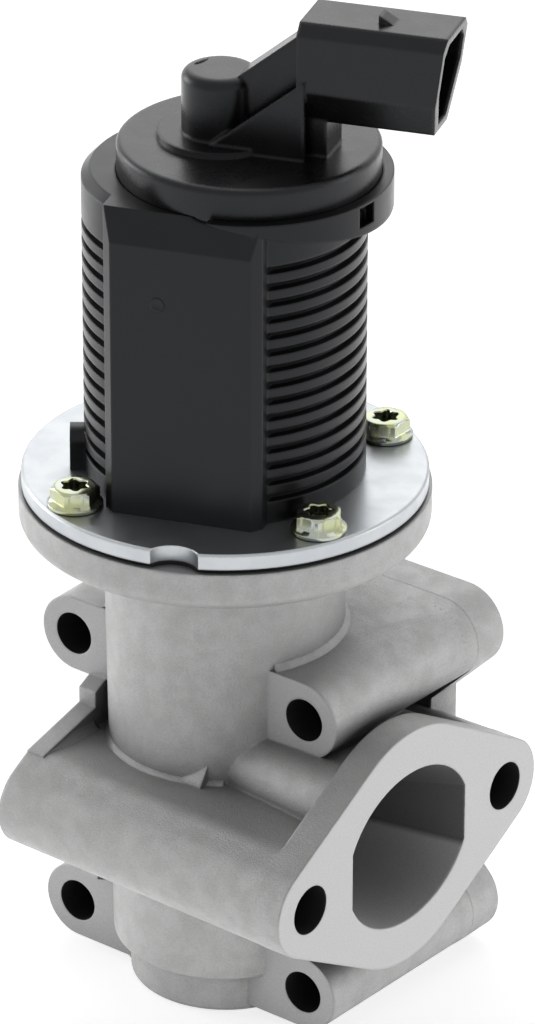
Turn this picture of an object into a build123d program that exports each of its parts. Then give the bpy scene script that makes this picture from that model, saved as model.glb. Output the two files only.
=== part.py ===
"""EGR valve: a cast body with a side gas port and two rear windows, a two-disc poppet valve, and a
finned solenoid with a position sensor and a plug socket on top.  Millimetres, +Z up the valve axis.

Origin: on the valve axis, level with the centre of the four long bolt holes.
+X is the outward normal of the two-bolt side port, +Y that of the rear mounting face.
"""
import os
from math import cos, radians, sqrt
from build123d import *

# ---------------------------------------------------------------- long bolts and rear face
BOLT_SPACING_X = 55.6          # four long bolt holes, centre to centre across
BOLT_SPACING_Z = 58.6          # and from the upper pair to the lower pair
BOLT_HOLE_R = 4.25             # clearance for an M8 bolt
LUG_FRONT_Y = -11.4            # faces that the bolt heads pull on
REAR_FACE_Y = 39.5             # rear mounting face
ARM_FRONT_R = 7.6              # half height of the cast arms at the bolt heads
ARM_REAR_R = 8.3               # and at the rear face, with their draft
REAR_FLANGE_T = 8.0
REAR_WAIST_X = 25.1            # half width of the rear flange between its bosses

# ---------------------------------------------------------------- side port and its flange
PORT_FACE_X = 44.0
PORT_Z = 3.0                   # height of the side port's centre
PORT_BOLT_SPACING = 60.0       # two bolt holes, along Y
PORT_BOLT_R = 4.8
PORT_TIP_R = 9.4               # rounded tips of the port flange
PORT_CROWN_R = 24.2            # rounding of the flange above and below the port
PORT_FLANGE_T = 6.5
PORT_OVAL_A = 18.6             # mouth: an oval of these half axes
PORT_OVAL_B = 15.7
PORT_FLAT_Y = 17.3             # cut flat on both sides
THROAT_OVAL_A = 13.0           # inner end of the port, where it meets the middle chamber
THROAT_ROOM_Z = 0.8            # middle chamber above the throat's top
THROAT_FLAT_Y = 12.2
THROAT_X = 19.0
THROAT_Z = 0.8
DUCT_HALF_WIDTH = 16.4         # outside of the port's duct at the barrel
DUCT_HALF_HEIGHT = 19.7
DUCT_FLARE = 3.6               # how much wider each side of the duct is at the flange
DUCT_CORNER_R = 8.0
DUCT_START_X = 8.0
DUCT_END_X = 41.0

BAR_END_X = -24.0              # closed side of the casting
BAR_END_R = 8.6                # long bars round the port bolts, at the closed side
BAR_HALF = 10.6                # half thickness of the slab behind each bar, at the port
BAR_END_HALF = 10.2            # and at the closed side
BAR_CREST_R = 5.0              # rounding between slab and bar
SIDE_PLATE_T = 4.0             # plate that ties the bars on the closed side
SIDE_PLATE_RISE = 14.2         # its top edge beside the barrel, above the bars' centres
SIDE_PLATE_HALF_Y = 14.6       # half width of its upright part
SIDE_PLATE_SHOULDER = 1.3      # where that narrows, under the arms
SIDE_PLATE_CHAMFER = 1.9       # height of the slope there
SIDE_PLATE_SETBACK = 0.6       # from there on it stays behind the arms' front
GUSSET_SIDE_X = 11.2           # small wedge in the corner of neck and near slab
GUSSET_INSET = 1.3             # its foot, inside the neck's radius
GUSSET_RISE = 4.4
GUSSET_LEAN = 2.7

# ---------------------------------------------------------------- barrel, top disc and chambers
TOP_DISC_MARGIN = 0.6          # disc outside the plate
TOP_DISC_T = 7.9
TOP_DISC_EDGE_R = 3.0          # rounded lower edge of the top disc
NECK_DRAFT = 1.3               # how much wider the barrel is under the disc
NECK_FILLET_R = 4.0
BARREL_R = 21.6                # barrel at its lower end
BARREL_BOTTOM_Z = -29.8
FOOT_STEP = 3.2                # stepped foot under the barrel
FOOT_H = 8.7
FOOT_EDGE_R = 1.2

FOOT_WALL = 2.2                # bores stepped so that everything goes in from below
PLUG_SHOULDER = 0.4
LOWER_SEAT_SHOULDER = 1.0
UPPER_SEAT_SHOULDER = 1.6
PLUG_BORE_DEPTH = 5.5
PLUG_WALL = 1.6
PLUG_SINK = 0.4                # plug's lip inside the foot's end
SEAT_T = 4.0                   # thickness of both valve seats
MIDDLE_HALF_Z = 12.0           # half height of the middle chamber
UPPER_CHAMBER_TOP_Z = 31.0
SPRING_POCKET_ROOM = 2.6       # round the spring's washer
SPRING_POCKET_FLOOR_T = 9.0    # wall between upper chamber and spring pocket

WINDOW_HALF_X = 11.0           # two gas windows in the rear face
WINDOW_INNER_Z = 17.5
WINDOW_ROOF = 1.0              # from a window to its chamber's roof
WINDOW_CORNER_R = 4.0
REAR_BLOCK_HALF_X = 18.5       # cast block round the windows

# ---------------------------------------------------------------- valve train
STEM_R = 3.0
STEM_CLEARANCE = 0.03          # running fit in the guide
LIFT = 5.5                     # full opening stroke, downwards
DISC_ROOM = 1.6                # round the lower disc in its bore
DISC_PASS = 0.6                # upper disc goes in through the lower seat
SEAT_LAND = 1.2                # overlap of disc and seat
DISC_T = 3.0
DISC_BEVEL = 1.0
DISC_HUB_R = 5.5
DISC_HUB_H = 3.5
STEM_CHAMFER = 0.75
STEM_TAIL = 1.0                # stem below the lower disc's hub
GUIDE_R = 5.2
GUIDE_BOSS_H = 9.5             # boss in the spring pocket
GUIDE_BOSS_WALL = 2.2
SHIELD_R = 8.6                 # deposit shield under the guide
SHIELD_T = 0.8
SHIELD_H = 4.0
SEAL_H = 3.0
SEAL_CAP_T = 0.6
SEAL_CAP_SKIRT = 5.0
RETAINER_RIM = 1.0             # outside the spring
RETAINER_T = 1.6
RETAINER_HUB_R = 5.0
RETAINER_HUB_H = 2.4
RETAINER_DROP = 2.6            # from the plate's underside, with the valve closed
SPRING_MEAN_R = 10.3
SPRING_WIRE_R = 0.9
SPRING_TURNS = 5.0
SPRING_WASHER_T = 0.8
SPRING_WASHER_RIM = 1.2        # outside the spring
SPRING_WASHER_SLIP = 0.2       # round the seal's cap

# ---------------------------------------------------------------- plate and screws
PLATE_TOP_Z = 69.5
GASKET_T = 0.8
GASKET_MARGIN = 0.6            # gasket inside the plate's edge
GASKET_BORE_R = 20.0
PLATE_T = 3.0
PLATE_RIM = 5.6                # from the screws' circle to the plate's edge
PLATE_BORE_R = 6.4
PLATE_CHAMFER = 0.4
NOTCH_R = 5.4                  # half-round locating notch in the plate's rim
NOTCH_SINK = 2.6               # how far the notch's centre lies outside the rim
NOTCH_ANGLE = -86.0            # from the solenoid's own +X
SOLENOID_CLOCK = 20.5          # solenoid and plug socket are turned this much about the valve axis
SCREW_ROOM = 1.0               # between screw flanges and solenoid
SCREW_ANGLES = (-130.0, -40.0, 40.0, 130.0)
SCREW_SHANK_R = 2.5
SCREW_HOLE_CLEARANCE = 0.25
SCREW_HEAD_AF = 8.0
SCREW_HEAD_H = 4.0
SCREW_ROUNDING_LOW_R = 8.0      # cone that rounds the hexagon's top corners
SCREW_ROUNDING_HIGH_R = 3.4
SCREW_FLANGE_R = 5.2
SCREW_FLANGE_T = 1.2
SCREW_LENGTH = 10.5
SCREW_SOCKET_R = 2.1
SCREW_SOCKET_DEPTH = 2.2

# ---------------------------------------------------------------- solenoid, heights above the plate
POLE_R = 9.0
POLE_H = 17.0
POLE_FOOT_SLIP = 0.2           # inside the can
POLE_FOOT_T = 4.0
STEM_PASSAGE_GAP = 0.6
END_GAP = 0.8                  # air gap that stays when the valve is fully open
ARMATURE_H = 26.0
ARMATURE_RUNNING_GAP = 0.08
ARMATURE_CHAMFER = 0.8
STEM_SEAT_DEPTH = 12.0         # stem pressed this deep into the armature
GUIDE_TUBE_T = 0.7
GUIDE_TUBE_STAND = 3.7         # above the armature
BOBBIN_T = 1.2
BOBBIN_ROOM = 0.6              # inside the can
BOBBIN_FLANGE_T = 1.6
FLUX_PLATE_T = 3.5
WINDING_INSET = 1.0            # inside the bobbin's flanges
YOKE_R = 22.0
YOKE_WALL = 2.0
YOKE_TOP = 48.0
SHELL_SLIP = 0.1               # between the steel can and the moulding round it

SHELL_WALL = 2.6               # moulding outside the can, between fins
FIN_DEPTH = 1.6
FIN_COUNT = 15
FIN_PITCH = 3.25
FIN_GAP = 1.5
FINS_START = 4.3               # height of the smooth foot band
PANEL_HALF_WIDTH = 15.1
PANEL_SINK = 0.4               # flat panel, inside the fins' radius
PANEL_TOP_SLOPE = 6.5          # long bevel at the top of the panel
PANEL_SLOPE_DEPTH = 1.6
PANEL_SIDE_BEVEL = 1.8
SHELL_RISE = 9.5               # from the sensor hollow's floor to the top
SHELL_EDGE_R = 1.6
COLLAR_STEP = 0.2              # collar round the cover, eccentric towards the plug socket
COLLAR_TILT = 14.0             # its lower edge drops towards the socket
COLLAR_EDGE_X = 16.3           # and passes through this point
COLLAR_EDGE_DROP = 2.8         # this far under the top
HEAD_FLOOR_T = 3.0             # between the can and the sensor hollow
HEAD_SEAL_LAND = 1.2           # inside the cover's seal
LID_SEAT_DEPTH = 2.6           # how deep the sensor cover sits in the collar
CLIP_WINDOW_ANGLE = -18.5      # snap window in the collar, seen from the cover's centre
CLIP_WINDOW_WIDTH = 4.4
CLIP_WINDOW_LOW = 4.5          # its edges under the top
CLIP_WINDOW_HIGH = 0.5
FOOT_LUG_ANGLE = -162.0        # small upright lug on the moulding's foot
FOOT_LUG_STAND = 2.6
FOOT_LUG_WIDTH = 6.0
FOOT_LUG_HEIGHT = 8.0
FOOT_LUG_ROUND = 2.5

# ---------------------------------------------------------------- sensor cover and plug socket
COLLAR_WALL = 2.2
LID_OFFSET = 4.7
LID_RISE = 5.9                 # cover above the collar
LID_EDGE_R = 1.0
LID_SLIP = 0.15
LID_SEAL_LAND = 0.7            # hollow under the cover, inside its seal
LID_ROOF = 2.4
TOWER_OFFSET = -0.8
TOWER_SIDE_WALL = 2.5          # tower round the sensor bore
SENSOR_SPRING_H = 5.6          # room over the plunger, valve closed
TOWER_WALL = 1.8
TOWER_ROUND = 1.8
TOWER_FOOT_RIM = 4.5
TOWER_FOOT_H = 1.0
SOCKET_START_X = 15.8
SOCKET_END_X = 43.4            # at its top edge
SOCKET_TILT = 7.5              # mouth leans back towards its lower edge
SOCKET_STAND = 7.0             # socket above the cover
SOCKET_HEIGHT = 19.0
SOCKET_NEAR_Y = -7.0           # sides of the socket
SOCKET_FAR_Y = 8.2
SOCKET_WALL = 1.6
SOCKET_DEPTH = 17.0
SOCKET_TOP_CORNER = 2.0
SOCKET_NEAR_CHAMFER = (2.6, 6.2)
SOCKET_FAR_CHAMFER = (4.6, 9.5)
CHANNEL_HALF = 3.2             # sloped wire channel from the tower up to the socket
CHANNEL_START_X = 3.5
CHANNEL_TOP_DROP = 1.6
FRONT_WEB_T = 1.4              # thin web in front of the channel
FRONT_WEB_START_X = -3.0
FRONT_WEB_RISE = 8.2           # its top, above the socket's lower side
PEDESTAL_HALF = 4.6
PEDESTAL_LENGTH = 5.0
LATCH_X = 29.5                 # small latch ramp on the socket
LATCH_LENGTH = 4.2
LATCH_WIDTH = 3.4
LATCH_HEIGHT = 1.5
COVER_SEAL_INSET = 1.6         # square seal in a groove under the cover
COVER_SEAL_W = 2.4
COVER_SEAL_T = 1.5

# ---------------------------------------------------------------- position sensor and terminals
SENSOR_BORE_R = 4.6
SENSOR_SLEEVE_WALL = 1.6       # sleeve inside the cover that carries the tower's bore down
PLUNGER_TIP_H = 9.5
PLUNGER_TIP_R = 2.0
PLUNGER_H = 13.2
PLUNGER_SLIP = 0.08
SENSOR_SPRING_R = 2.6
SENSOR_SPRING_WIRE_R = 0.3
SENSOR_SPRING_TURNS = 5.0
TRACK_W = 4.0                  # resistive track card in a slot beside the sensor bore
TRACK_T = 0.8
TRACK_H = 14.0
TRACK_STAND = 0.6              # how far the card stands into the bore
WIPER_W = 2.0                  # contact on a flat of the plunger, running along the card
WIPER_H = 2.5
WIPER_DEPTH = 1.0
WIPER_GAP = 0.05
PIN_COUNT = 5
PIN_PITCH = 2.6
PIN_W = 1.5
PIN_T = 0.7
PIN_REACH = 8.0                # into the plug socket
PIN_ROOT = 4.0                 # held this deep in its floor


CUT_PAST = 1.0                 # cutters run this far past the faces that they open

# ---------------------------------------------------------------- sizes that follow: the casting
PLATE_BOTTOM_Z = PLATE_TOP_Z - PLATE_T
DISC_TOP_Z = PLATE_BOTTOM_Z - GASKET_T
FOOT_BOTTOM_Z = BARREL_BOTTOM_Z - FOOT_H
NECK_R = BARREL_R + NECK_DRAFT
FOOT_R = BARREL_R - FOOT_STEP
PLUG_BORE_R = FOOT_R - FOOT_WALL
LOWER_BORE_R = PLUG_BORE_R - PLUG_SHOULDER
MIDDLE_BORE_R = LOWER_BORE_R - LOWER_SEAT_SHOULDER
UPPER_BORE_R = MIDDLE_BORE_R - UPPER_SEAT_SHOULDER
THROAT_OVAL_B = MIDDLE_HALF_Z - THROAT_Z - THROAT_ROOM_Z
WINDOW_OUTER_Z = UPPER_CHAMBER_TOP_Z - WINDOW_ROOF
SPRING_POCKET_FLOOR_Z = UPPER_CHAMBER_TOP_Z + SPRING_POCKET_FLOOR_T
PLUG_TOP_Z = FOOT_BOTTOM_Z + PLUG_BORE_DEPTH

# ---------------------------------------------------------------- seats, valve train and spring
UPPER_SEAT_FACE_Z = MIDDLE_HALF_Z
LOWER_SEAT_FACE_Z = -MIDDLE_HALF_Z - SEAT_T
LOWER_DISC_R = LOWER_BORE_R - DISC_ROOM
LOWER_SEAT_BORE_R = LOWER_DISC_R - SEAT_LAND
UPPER_DISC_R = LOWER_SEAT_BORE_R - DISC_PASS
UPPER_SEAT_BORE_R = UPPER_DISC_R - SEAT_LAND
GUIDE_BOTTOM_Z = UPPER_CHAMBER_TOP_Z - SHIELD_H
GUIDE_TOP_Z = SPRING_POCKET_FLOOR_Z + GUIDE_BOSS_H
GUIDE_BOSS_R = GUIDE_R + GUIDE_BOSS_WALL
SEAL_TOP_Z = GUIDE_TOP_Z + SEAL_H
STEM_PASSAGE_R = STEM_R + STEM_PASSAGE_GAP
SPRING_R = SPRING_MEAN_R + SPRING_WIRE_R
RETAINER_R = SPRING_R + RETAINER_RIM
SPRING_WASHER_R = SPRING_R + SPRING_WASHER_RIM
SPRING_WASHER_HOLE_R = GUIDE_BOSS_R + SEAL_CAP_T + SPRING_WASHER_SLIP
SPRING_POCKET_R = SPRING_WASHER_R + SPRING_POCKET_ROOM
RETAINER_TOP_Z = PLATE_BOTTOM_Z - RETAINER_DROP
SPRING_LOW_Z = SPRING_POCKET_FLOOR_Z + SPRING_WASHER_T
SPRING_HIGH_Z = RETAINER_TOP_Z - RETAINER_T

# ---------------------------------------------------------------- solenoid, from its pole outwards and up
GUIDE_TUBE_R = POLE_R + ARMATURE_RUNNING_GAP
BOBBIN_R = GUIDE_TUBE_R + GUIDE_TUBE_T
POLE_FOOT_R = YOKE_R - YOKE_WALL - POLE_FOOT_SLIP
BOBBIN_FLANGE_R = YOKE_R - YOKE_WALL - BOBBIN_ROOM
WINDING_R = BOBBIN_FLANGE_R - WINDING_INSET
FIN_ROOT_R = YOKE_R + SHELL_WALL
FIN_R = FIN_ROOT_R + FIN_DEPTH
PANEL_DEPTH = FIN_R - PANEL_SINK
FOOT_LUG_REACH = FIN_R + FOOT_LUG_STAND
COLLAR_R = FIN_R + COLLAR_STEP
LID_R = COLLAR_R - COLLAR_WALL
COVER_SEAL_R = LID_R - COVER_SEAL_INSET
HEAD_POCKET_R = COVER_SEAL_R - COVER_SEAL_W - HEAD_SEAL_LAND
LID_POCKET_R = COVER_SEAL_R - COVER_SEAL_W - LID_OFFSET - LID_SEAL_LAND
ARMATURE_LOW_Z = PLATE_TOP_Z + POLE_H + END_GAP + LIFT
ARMATURE_HIGH_Z = ARMATURE_LOW_Z + ARMATURE_H
GUIDE_TUBE_TOP_Z = ARMATURE_HIGH_Z + GUIDE_TUBE_STAND
BOBBIN_TOP = YOKE_TOP - FLUX_PLATE_T
HEAD_FLOOR = YOKE_TOP + HEAD_FLOOR_T
SHELL_TOP = HEAD_FLOOR + SHELL_RISE
LID_TOP = SHELL_TOP + LID_RISE
SOCKET_BOTTOM = LID_TOP + SOCKET_STAND
SOCKET_TOP = SOCKET_BOTTOM + SOCKET_HEIGHT

# ---------------------------------------------------------------- sensor tower, over the armature
PLUNGER_SHOULDER_Z = ARMATURE_HIGH_Z + PLUNGER_TIP_H
PLUNGER_TOP_Z = PLUNGER_SHOULDER_Z + PLUNGER_H
SENSOR_BORE_TOP_Z = PLUNGER_TOP_Z + SENSOR_SPRING_H
TOWER_TOP_Z = SENSOR_BORE_TOP_Z + TOWER_WALL
TOWER_R = SENSOR_BORE_R + TOWER_SIDE_WALL
TOWER_FOOT_R = TOWER_R + TOWER_FOOT_RIM
SENSOR_SLEEVE_R = SENSOR_BORE_R + SENSOR_SLEEVE_WALL
TRACK_FACE_X = TOWER_OFFSET + SENSOR_BORE_R - TRACK_STAND
PLUNGER_FLAT_X = TRACK_FACE_X - WIPER_GAP - WIPER_DEPTH

# ---------------------------------------------------------------- plate and screws, round the solenoid
SCREW_CIRCLE_R = FIN_R + SCREW_ROOM + SCREW_FLANGE_R
PLATE_R = SCREW_CIRCLE_R + PLATE_RIM
GASKET_R = PLATE_R - GASKET_MARGIN
TOP_DISC_R = PLATE_R + TOP_DISC_MARGIN


def about_axis(angle, piece):
    """Turns a piece about the valve axis."""
    return Rot(0, 0, angle) * piece


def clocked(piece):
    """Turns a piece built in the solenoid's own axes to where the solenoid sits."""
    return about_axis(SOLENOID_CLOCK, piece)


def ring(outer_r, inner_r, low_z, high_z):
    """Ring about the valve axis, or a plain disc when inner_r is 0."""
    height = high_z - low_z
    body = Cylinder(outer_r, height)
    if inner_r > 0:
        body -= Cylinder(inner_r, height)
    return Pos(0, 0, (low_z + high_z) / 2) * body


def block(low_x, high_x, low_y, high_y, low_z, high_z):
    """Box between two corners."""
    centre = Pos((low_x + high_x) / 2, (low_y + high_y) / 2, (low_z + high_z) / 2)
    return centre * Box(high_x - low_x, high_y - low_y, high_z - low_z)


def turned(*points):
    """Solid of revolution about the valve axis from (radius, z) corners."""
    profile = make_face(Polyline(*points, close=True))
    return revolve(Plane.XZ * profile, Axis.Z)


def along_x(sketch, low_x, high_x):
    """Extrudes a (y, z) sketch between two places on X."""
    return extrude(Plane.YZ.offset(low_x) * sketch, high_x - low_x)


def upright(y):
    """Upright plane across Y for (x, z) sketches."""
    return Plane(origin=(0, y, 0), x_dir=(1, 0, 0), z_dir=(0, -1, 0))


def along_y(sketch, low_y, high_y):
    """Extrudes an (x, z) sketch between two places on Y."""
    return extrude(upright(low_y) * sketch, low_y - high_y)


def hole_x(y, z, radius):
    """Drill along X, right through the casting."""
    length = PORT_FACE_X - BAR_END_X + 2 * CUT_PAST
    return Pos((BAR_END_X + PORT_FACE_X) / 2, y, z) * Rot(0, 90, 0) * Cylinder(radius, length)


def hole_y(x, z, radius):
    """Drill along Y, right through the casting."""
    length = REAR_FACE_Y - LUG_FRONT_Y + 2 * CUT_PAST
    return Pos(x, (LUG_FRONT_Y + REAR_FACE_Y) / 2, z) * Rot(90, 0, 0) * Cylinder(radius, length)


def bolt_places():
    """The four long bolts' (x, z) centres."""
    return [(sx * BOLT_SPACING_X / 2, sz * BOLT_SPACING_Z / 2) for sx in (-1, 1) for sz in (-1, 1)]


def port_outline():
    """Two-bolt flange: a crown circle and two tip circles joined by their common tangents."""
    reach = PORT_BOLT_SPACING / 2
    sine = (PORT_CROWN_R - PORT_TIP_R) / reach
    cosine = sqrt(1 - sine * sine)
    outline = Circle(PORT_CROWN_R)
    for side in (-1, 1):
        outline += Pos(side * reach, 0) * Circle(PORT_TIP_R)
        crown = (side * PORT_CROWN_R * sine, PORT_CROWN_R * cosine)
        tip = (side * (reach + PORT_TIP_R * sine), PORT_TIP_R * cosine)
        corners = (crown, tip, (tip[0], -tip[1]), (crown[0], -crown[1]))
        outline += make_face(Polyline(*corners, close=True))
    return outline


def port_oval(half_y, half_z, flat_y):
    """Oval with flat sides, as the port's mouth and duct have."""
    return Ellipse(half_y, half_z) & Rectangle(2 * flat_y, 3 * half_z)


def port_passage():
    """Gas passage from the middle chamber to the mouth of the side port."""
    throat = Pos(0, THROAT_Z) * port_oval(THROAT_OVAL_A, THROAT_OVAL_B, THROAT_FLAT_Y)
    mouth = Pos(0, PORT_Z) * port_oval(PORT_OVAL_A, PORT_OVAL_B, PORT_FLAT_Y)
    flare = loft([Plane.YZ.offset(THROAT_X) * throat, Plane.YZ.offset(PORT_FACE_X) * mouth])
    return along_x(throat, 0, THROAT_X) + flare


def port_duct():
    """Outside of the side port's duct, flaring towards its flange."""
    inner = RectangleRounded(2 * DUCT_HALF_WIDTH, 2 * DUCT_HALF_HEIGHT, DUCT_CORNER_R)
    outer_half = DUCT_HALF_WIDTH + DUCT_FLARE
    outer = RectangleRounded(2 * outer_half, 2 * DUCT_HALF_HEIGHT, DUCT_CORNER_R)
    start = Plane.YZ.offset(DUCT_START_X) * Pos(0, PORT_Z) * inner
    end = Plane.YZ.offset(DUCT_END_X) * Pos(0, PORT_Z) * outer
    return loft([start, end])


def rear_outline():
    """Rear flange in (x, z): four bosses, a waist on each side."""
    reach_x, reach_z = BOLT_SPACING_X / 2, BOLT_SPACING_Z / 2
    slant = ARM_REAR_R * cos(radians(45))
    waist_z = reach_z - slant - (reach_x + slant - REAR_WAIST_X)
    half = [
        (0, reach_z + ARM_REAR_R),
        (reach_x, reach_z + ARM_REAR_R),
        (reach_x + slant, reach_z - slant),
        (REAR_WAIST_X, waist_z),
        (REAR_WAIST_X, -waist_z),
        (reach_x + slant, -reach_z + slant),
        (reach_x, -reach_z - ARM_REAR_R),
        (0, -reach_z - ARM_REAR_R),
    ]
    outline = make_face(Polyline(*half, close=True))
    outline += mirror(outline, Plane.YZ)
    for x, z in bolt_places():
        outline += Pos(x, z) * Circle(ARM_REAR_R)
    return outline


# ---------------------------------------------------------------- casting
def barrel():
    """Top disc, neck, barrel and foot in one turned form."""
    disc_bottom = DISC_TOP_Z - TOP_DISC_T
    profile = make_face(
        Polyline(
            (0, FOOT_BOTTOM_Z),
            (FOOT_R, FOOT_BOTTOM_Z),
            (FOOT_R, BARREL_BOTTOM_Z),
            (BARREL_R, BARREL_BOTTOM_Z),
            (NECK_R, disc_bottom),
            (TOP_DISC_R, disc_bottom),
            (TOP_DISC_R, DISC_TOP_Z),
            (0, DISC_TOP_Z),
            close=True,
        )
    )

    def corner(point):
        return profile.vertices().sort_by_distance(point)[0]

    profile = fillet(corner((TOP_DISC_R, disc_bottom)), TOP_DISC_EDGE_R)
    profile = fillet(corner((NECK_R, disc_bottom)), NECK_FILLET_R)
    profile = fillet(corner((FOOT_R, FOOT_BOTTOM_Z)), FOOT_EDGE_R)
    profile = fillet(corner((BARREL_R, BARREL_BOTTOM_Z)), FOOT_EDGE_R)
    return revolve(Plane.XZ * profile, Axis.Z)


def arm_pair(side):
    """Cast slab with rounded sides round two of the long bolts."""
    z = side * BOLT_SPACING_Z / 2
    front = Pos(0, z) * SlotCenterToCenter(BOLT_SPACING_X, 2 * ARM_FRONT_R)
    rear = Pos(0, z) * SlotCenterToCenter(BOLT_SPACING_X, 2 * ARM_REAR_R)
    return loft([upright(LUG_FRONT_Y) * front, upright(REAR_FACE_Y) * rear])


def bar_section(side, tip_r, half):
    """Section in (y, z) of the slab from the barrel to the round bar of one port bolt."""
    reach = PORT_BOLT_SPACING / 2
    sine = (PORT_CROWN_R - PORT_TIP_R) / reach
    cosine = sqrt(1 - sine * sine)
    tangent = (reach + tip_r * sine, tip_r * cosine)
    crest = (tangent[0] - (half - tangent[1]) * cosine / sine, half)
    tip = ThreePointArc(tangent, (reach + tip_r, 0), (tangent[0], -tangent[1]))
    low_crest = (crest[0], -half)
    lines = Polyline(tip @ 1, low_crest, (0, -half), (0, half), crest, tip @ 0)
    section = make_face([tip, lines])
    crests = [section.vertices().sort_by_distance(point)[0] for point in (crest, low_crest)]
    section = fillet(crests, BAR_CREST_R)
    if side < 0:
        section = mirror(section, Plane.YZ)
    return Pos(0, PORT_Z) * section


def port_bar(side):
    """Slab and long round bar of one port bolt, with draft towards the closed side."""
    closed = Plane.YZ.offset(BAR_END_X) * bar_section(side, BAR_END_R, BAR_END_HALF)
    port = Plane.YZ.offset(PORT_FACE_X) * bar_section(side, PORT_TIP_R, BAR_HALF)
    return loft([closed, port])


def side_plate():
    """Plate on the closed side that ties both bars and the arms."""
    reach = PORT_BOLT_SPACING / 2
    arm_edge = BOLT_SPACING_Z / 2
    behind_arms = -LUG_FRONT_Y - SIDE_PLATE_SETBACK
    shoulder = arm_edge - ARM_FRONT_R - SIDE_PLATE_SHOULDER
    half = [
        (0, arm_edge),
        (behind_arms, arm_edge),
        (behind_arms, shoulder + SIDE_PLATE_CHAMFER),
        (SIDE_PLATE_HALF_Y, shoulder),
        (SIDE_PLATE_HALF_Y, PORT_Z + SIDE_PLATE_RISE),
        (reach, PORT_Z + BAR_END_HALF),
        (reach, PORT_Z - BAR_END_HALF),
        (SIDE_PLATE_HALF_Y, PORT_Z - SIDE_PLATE_RISE),
        (SIDE_PLATE_HALF_Y, -shoulder),
        (behind_arms, -shoulder - SIDE_PLATE_CHAMFER),
        (behind_arms, -arm_edge),
        (0, -arm_edge),
    ]
    outline = make_face(Polyline(*half, close=True))
    outline += mirror(outline, Plane.YZ)
    return along_x(outline, BAR_END_X, BAR_END_X + SIDE_PLATE_T)


def neck_gusset():
    """Small wedge in the corner between the neck and the near slab."""
    foot = PORT_Z + BAR_HALF
    foot_y = GUSSET_INSET - NECK_R
    outline = make_face(
        Polyline(
            (0, 0),
            (foot_y, 0),
            (foot_y, foot),
            (foot_y + GUSSET_LEAN, foot + GUSSET_RISE),
            (0, foot + GUSSET_RISE),
            close=True,
        )
    )
    return along_x(outline, 0, GUSSET_SIDE_X)


def chambers():
    """Everything turned out of the casting along the valve axis."""
    below = FOOT_BOTTOM_Z - CUT_PAST
    above = DISC_TOP_Z + CUT_PAST
    upper_seat_top = UPPER_SEAT_FACE_Z + SEAT_T
    cuts = turned(
        (0, below),
        (PLUG_BORE_R, below),
        (PLUG_BORE_R, PLUG_TOP_Z),
        (LOWER_BORE_R, PLUG_TOP_Z),
        (LOWER_BORE_R, -MIDDLE_HALF_Z),
        (MIDDLE_BORE_R, -MIDDLE_HALF_Z),
        (MIDDLE_BORE_R, upper_seat_top),
        (UPPER_BORE_R, upper_seat_top),
        (UPPER_BORE_R, UPPER_CHAMBER_TOP_Z),
        (GUIDE_R, UPPER_CHAMBER_TOP_Z),
        (GUIDE_R, GUIDE_TOP_Z),
        (GUIDE_BOSS_R, GUIDE_TOP_Z),
        (GUIDE_BOSS_R, SPRING_POCKET_FLOOR_Z),
        (SPRING_POCKET_R, SPRING_POCKET_FLOOR_Z),
        (SPRING_POCKET_R, above),
        (0, above),
    )
    return cuts


def rear_window(side):
    """Gas window from one outer chamber to the rear face."""
    height = WINDOW_OUTER_Z - WINDOW_INNER_Z
    centre = side * (WINDOW_OUTER_Z + WINDOW_INNER_Z) / 2
    outline = Pos(0, centre) * RectangleRounded(2 * WINDOW_HALF_X, height, WINDOW_CORNER_R)
    return along_y(outline, 0, REAR_FACE_Y + CUT_PAST)


def screw_places():
    """Plate screws' places on their circle, in the solenoid's own axes."""
    return [Rot(0, 0, angle) * Pos(SCREW_CIRCLE_R, 0, 0) for angle in SCREW_ANGLES]


def screw_holes(radius, low_z, high_z):
    """Four holes for the plate screws."""
    hole = Pos(0, 0, (low_z + high_z) / 2) * Cylinder(radius, high_z - low_z)
    return [clocked(place * hole) for place in screw_places()]


def valve_body():
    """The whole aluminium casting, machined."""
    reach_z = BOLT_SPACING_Z / 2
    body = barrel()
    body += [arm_pair(-1), arm_pair(1)]
    body += along_y(rear_outline(), REAR_FACE_Y - REAR_FLANGE_T, REAR_FACE_Y)
    body += block(-REAR_BLOCK_HALF_X, REAR_BLOCK_HALF_X, 0, REAR_FACE_Y, -reach_z, reach_z)
    body += [port_bar(-1), port_bar(1)]
    body += side_plate()
    body += neck_gusset()
    body += port_duct()
    body += along_x(Pos(0, PORT_Z) * port_outline(), PORT_FACE_X - PORT_FLANGE_T, PORT_FACE_X)
    body -= chambers()
    body -= port_passage()
    body -= [rear_window(-1), rear_window(1)]
    body -= [hole_y(x, z, BOLT_HOLE_R) for x, z in bolt_places()]
    body -= [hole_x(side * PORT_BOLT_SPACING / 2, PORT_Z, PORT_BOLT_R) for side in (-1, 1)]
    body -= screw_holes(SCREW_SHANK_R, DISC_TOP_Z - TOP_DISC_T - CUT_PAST, DISC_TOP_Z + CUT_PAST)
    return body


def bottom_plug():
    """Cup-shaped core plug pressed into the foot."""
    lip = FOOT_BOTTOM_Z + PLUG_SINK
    inner = PLUG_BORE_R - PLUG_WALL
    return turned(
        (0, PLUG_TOP_Z),
        (PLUG_BORE_R, PLUG_TOP_Z),
        (PLUG_BORE_R, lip),
        (inner, lip),
        (inner, PLUG_TOP_Z - PLUG_WALL),
        (0, PLUG_TOP_Z - PLUG_WALL),
    )


# ---------------------------------------------------------------- seats, guide and seal
def upper_seat():
    """Steel seat ring of the upper disc."""
    top = UPPER_SEAT_FACE_Z + SEAT_T
    return ring(MIDDLE_BORE_R, UPPER_SEAT_BORE_R, UPPER_SEAT_FACE_Z, top)


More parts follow.
